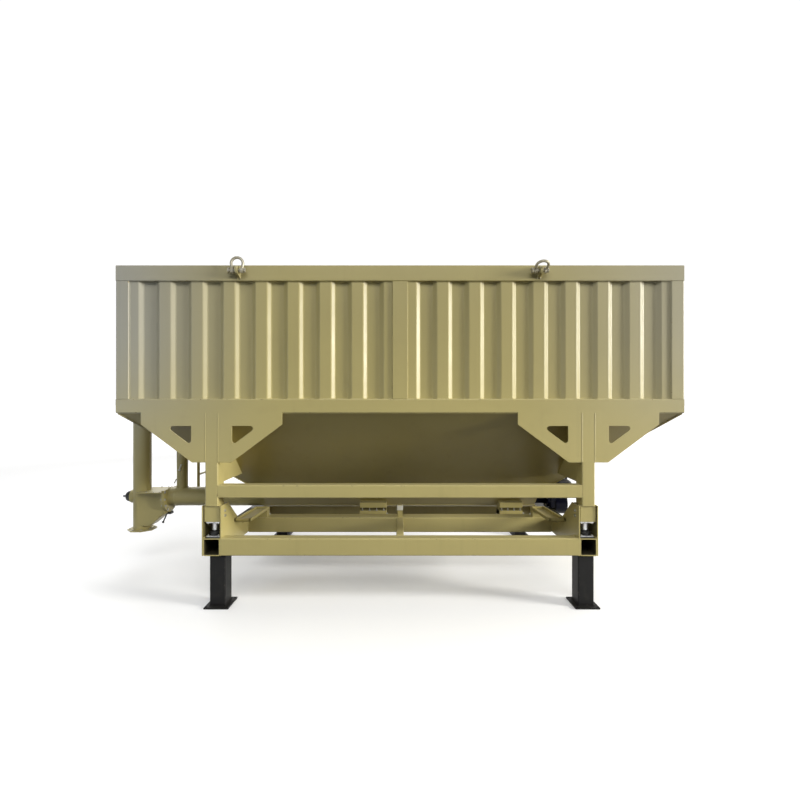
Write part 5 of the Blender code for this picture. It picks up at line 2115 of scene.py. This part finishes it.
@dataclass
class Studio:
    """The floor, the soft lights and the camera."""

    eye: tuple[float, float, float] = (0.295, -4.7, 1.575)
    focal: float = 21.04
    shift_y: float = 0.00625
    far_clip: float = 5000.0
    floor_radius: float = 1500.0
    white_air: float = 1.05

    def floor(self) -> None:
        """A pale floor that runs far out on all sides."""
        bm = bmesh.new()
        bmesh.ops.create_circle(bm, cap_ends=True, segments=96, radius=self.floor_radius)
        mesh = bpy.data.meshes.new("studio_floor")
        bm.to_mesh(mesh)
        bm.free()
        recipe = Recipe.of_material("pale_floor")
        across, along = recipe.part_of_place("X"), recipe.part_of_place("Y")
        far = (across * across + along * along).between(20.0, 300.0)
        patches = recipe.noise(0.7, 3.0) * 0.15
        recipe.shade(
            Base_Color=recipe.blend(patches, (0.93, 0.93, 0.93), (0.90, 0.90, 0.90)),
            Roughness=0.85,
            Emission_Color=recipe.blend(far, (0.10, 0.10, 0.10), (0.62, 0.62, 0.62)),
            Emission_Strength=1.0,
        )
        mesh.materials.append(recipe.holder)
        floor = bpy.data.objects.new("studio_floor", mesh)
        floor.location.z = -0.0005
        bpy.context.scene.collection.objects.link(floor)
        floor.visible_diffuse = False

    def softbox(
        self, name: str, place: Point, aim: Point, size: Point, power: float, tint: Colour
    ) -> None:
        """One area light.

        Args:
            name: its name.
            place: where it stands.
            aim: the point that it faces.
            size: its width and height.
            power: its power in watts.
            tint: its colour.
        """
        light = bpy.data.lights.new(name, "AREA")
        light.shape = "RECTANGLE"
        light.size, light.size_y = size
        light.energy = power
        light.color = tint
        lamp = bpy.data.objects.new(name, light)
        lamp.location = place
        look = Vector(aim) - Vector(place)
        lamp.rotation_euler = look.to_track_quat("-Z", "Y").to_euler()
        bpy.context.scene.collection.objects.link(lamp)

    def lights(self) -> None:
        """A strong softbox far to the right, one above in front, one on the left, one behind."""
        warm, cool = (1.0, 0.98, 0.92), (0.72, 0.84, 1.0)
        for name, place, aim, size, power, tint in (
            ("right", (16.5, -5.5, 4.4), (0.3, -0.4, 1.2), (4.5, 4.0), 3900.0, warm),
            ("front", (0.6, -6.8, 7.2), (0.3, 0.0, 1.0), (8.0, 4.0), 430.0, WHITE),
            ("left", (-4.6, -4.2, 2.0), (-1.9, -1.1, 1.7), (1.6, 2.4), 30.0, cool),
            ("rear", (-4.0, 7.0, 6.0), (0.0, 0.0, 1.2), (6.0, 4.0), 300.0, WHITE),
        ):
            self.softbox(f"{name}_softbox", place, aim, size, power, tint)

    def surroundings(self) -> None:
        """The air around: white to the camera, and dimmer below and in front as a light."""
        recipe = Recipe.of_world("studio_air")
        ahead = recipe.part_of_place("Y").between(-0.15, 0.20)
        across = recipe.part_of_place("X")
        sides = (across * across).between(0.55, 0.95)
        below = recipe.part_of_place("Z").between(-0.10, -0.04)
        glow = (0.16 + ahead * 0.89).highest(sides * 0.55) * (0.07 + below * 0.93)
        seen = Value(recipe, recipe.add("ShaderNodeLightPath").outputs["Is Camera Ray"])
        recipe.shade(
            Strength=glow.highest(seen * self.white_air),
            Color=recipe.blend(below, (1.0, 0.80, 0.42), WHITE),
        )
        bpy.context.scene.world = recipe.holder
        bpy.context.scene.view_settings.view_transform = "Standard"

    def camera(self) -> None:
        """The camera at the photograph's viewpoint, level and square to the front."""
        lens = bpy.data.cameras.new("photo_camera")
        lens.sensor_width = 36.0
        lens.lens = self.focal
        lens.shift_y = self.shift_y
        lens.clip_end = self.far_clip
        camera = bpy.data.objects.new("photo_camera", lens)
        camera.location = self.eye
        camera.rotation_euler = (radians(90), 0.0, 0.0)
        bpy.context.scene.collection.objects.link(camera)
        bpy.context.scene.camera = camera

    def build(self) -> None:
        """Builds the studio."""
        self.floor()
        self.lights()
        self.surroundings()
        self.camera()


def main() -> None:
    """Builds every sub-assembly in order and notes the sizes of the result."""
    logging.basicConfig(level=logging.INFO, format="%(name)s: %(message)s")
    Studio().build()
    for assembly in (
        StorageBody(),
        LiftingGear(),
        Hopper(),
        LegFrame(),
        LoadCells(),
        BaseFrame(),
        DischargeEnd(),
        Drive(),
        Ladder(),
    ):
        log.info("building %s", type(assembly).__name__)
        assembly.build()


if __name__ == "__main__":
    main()
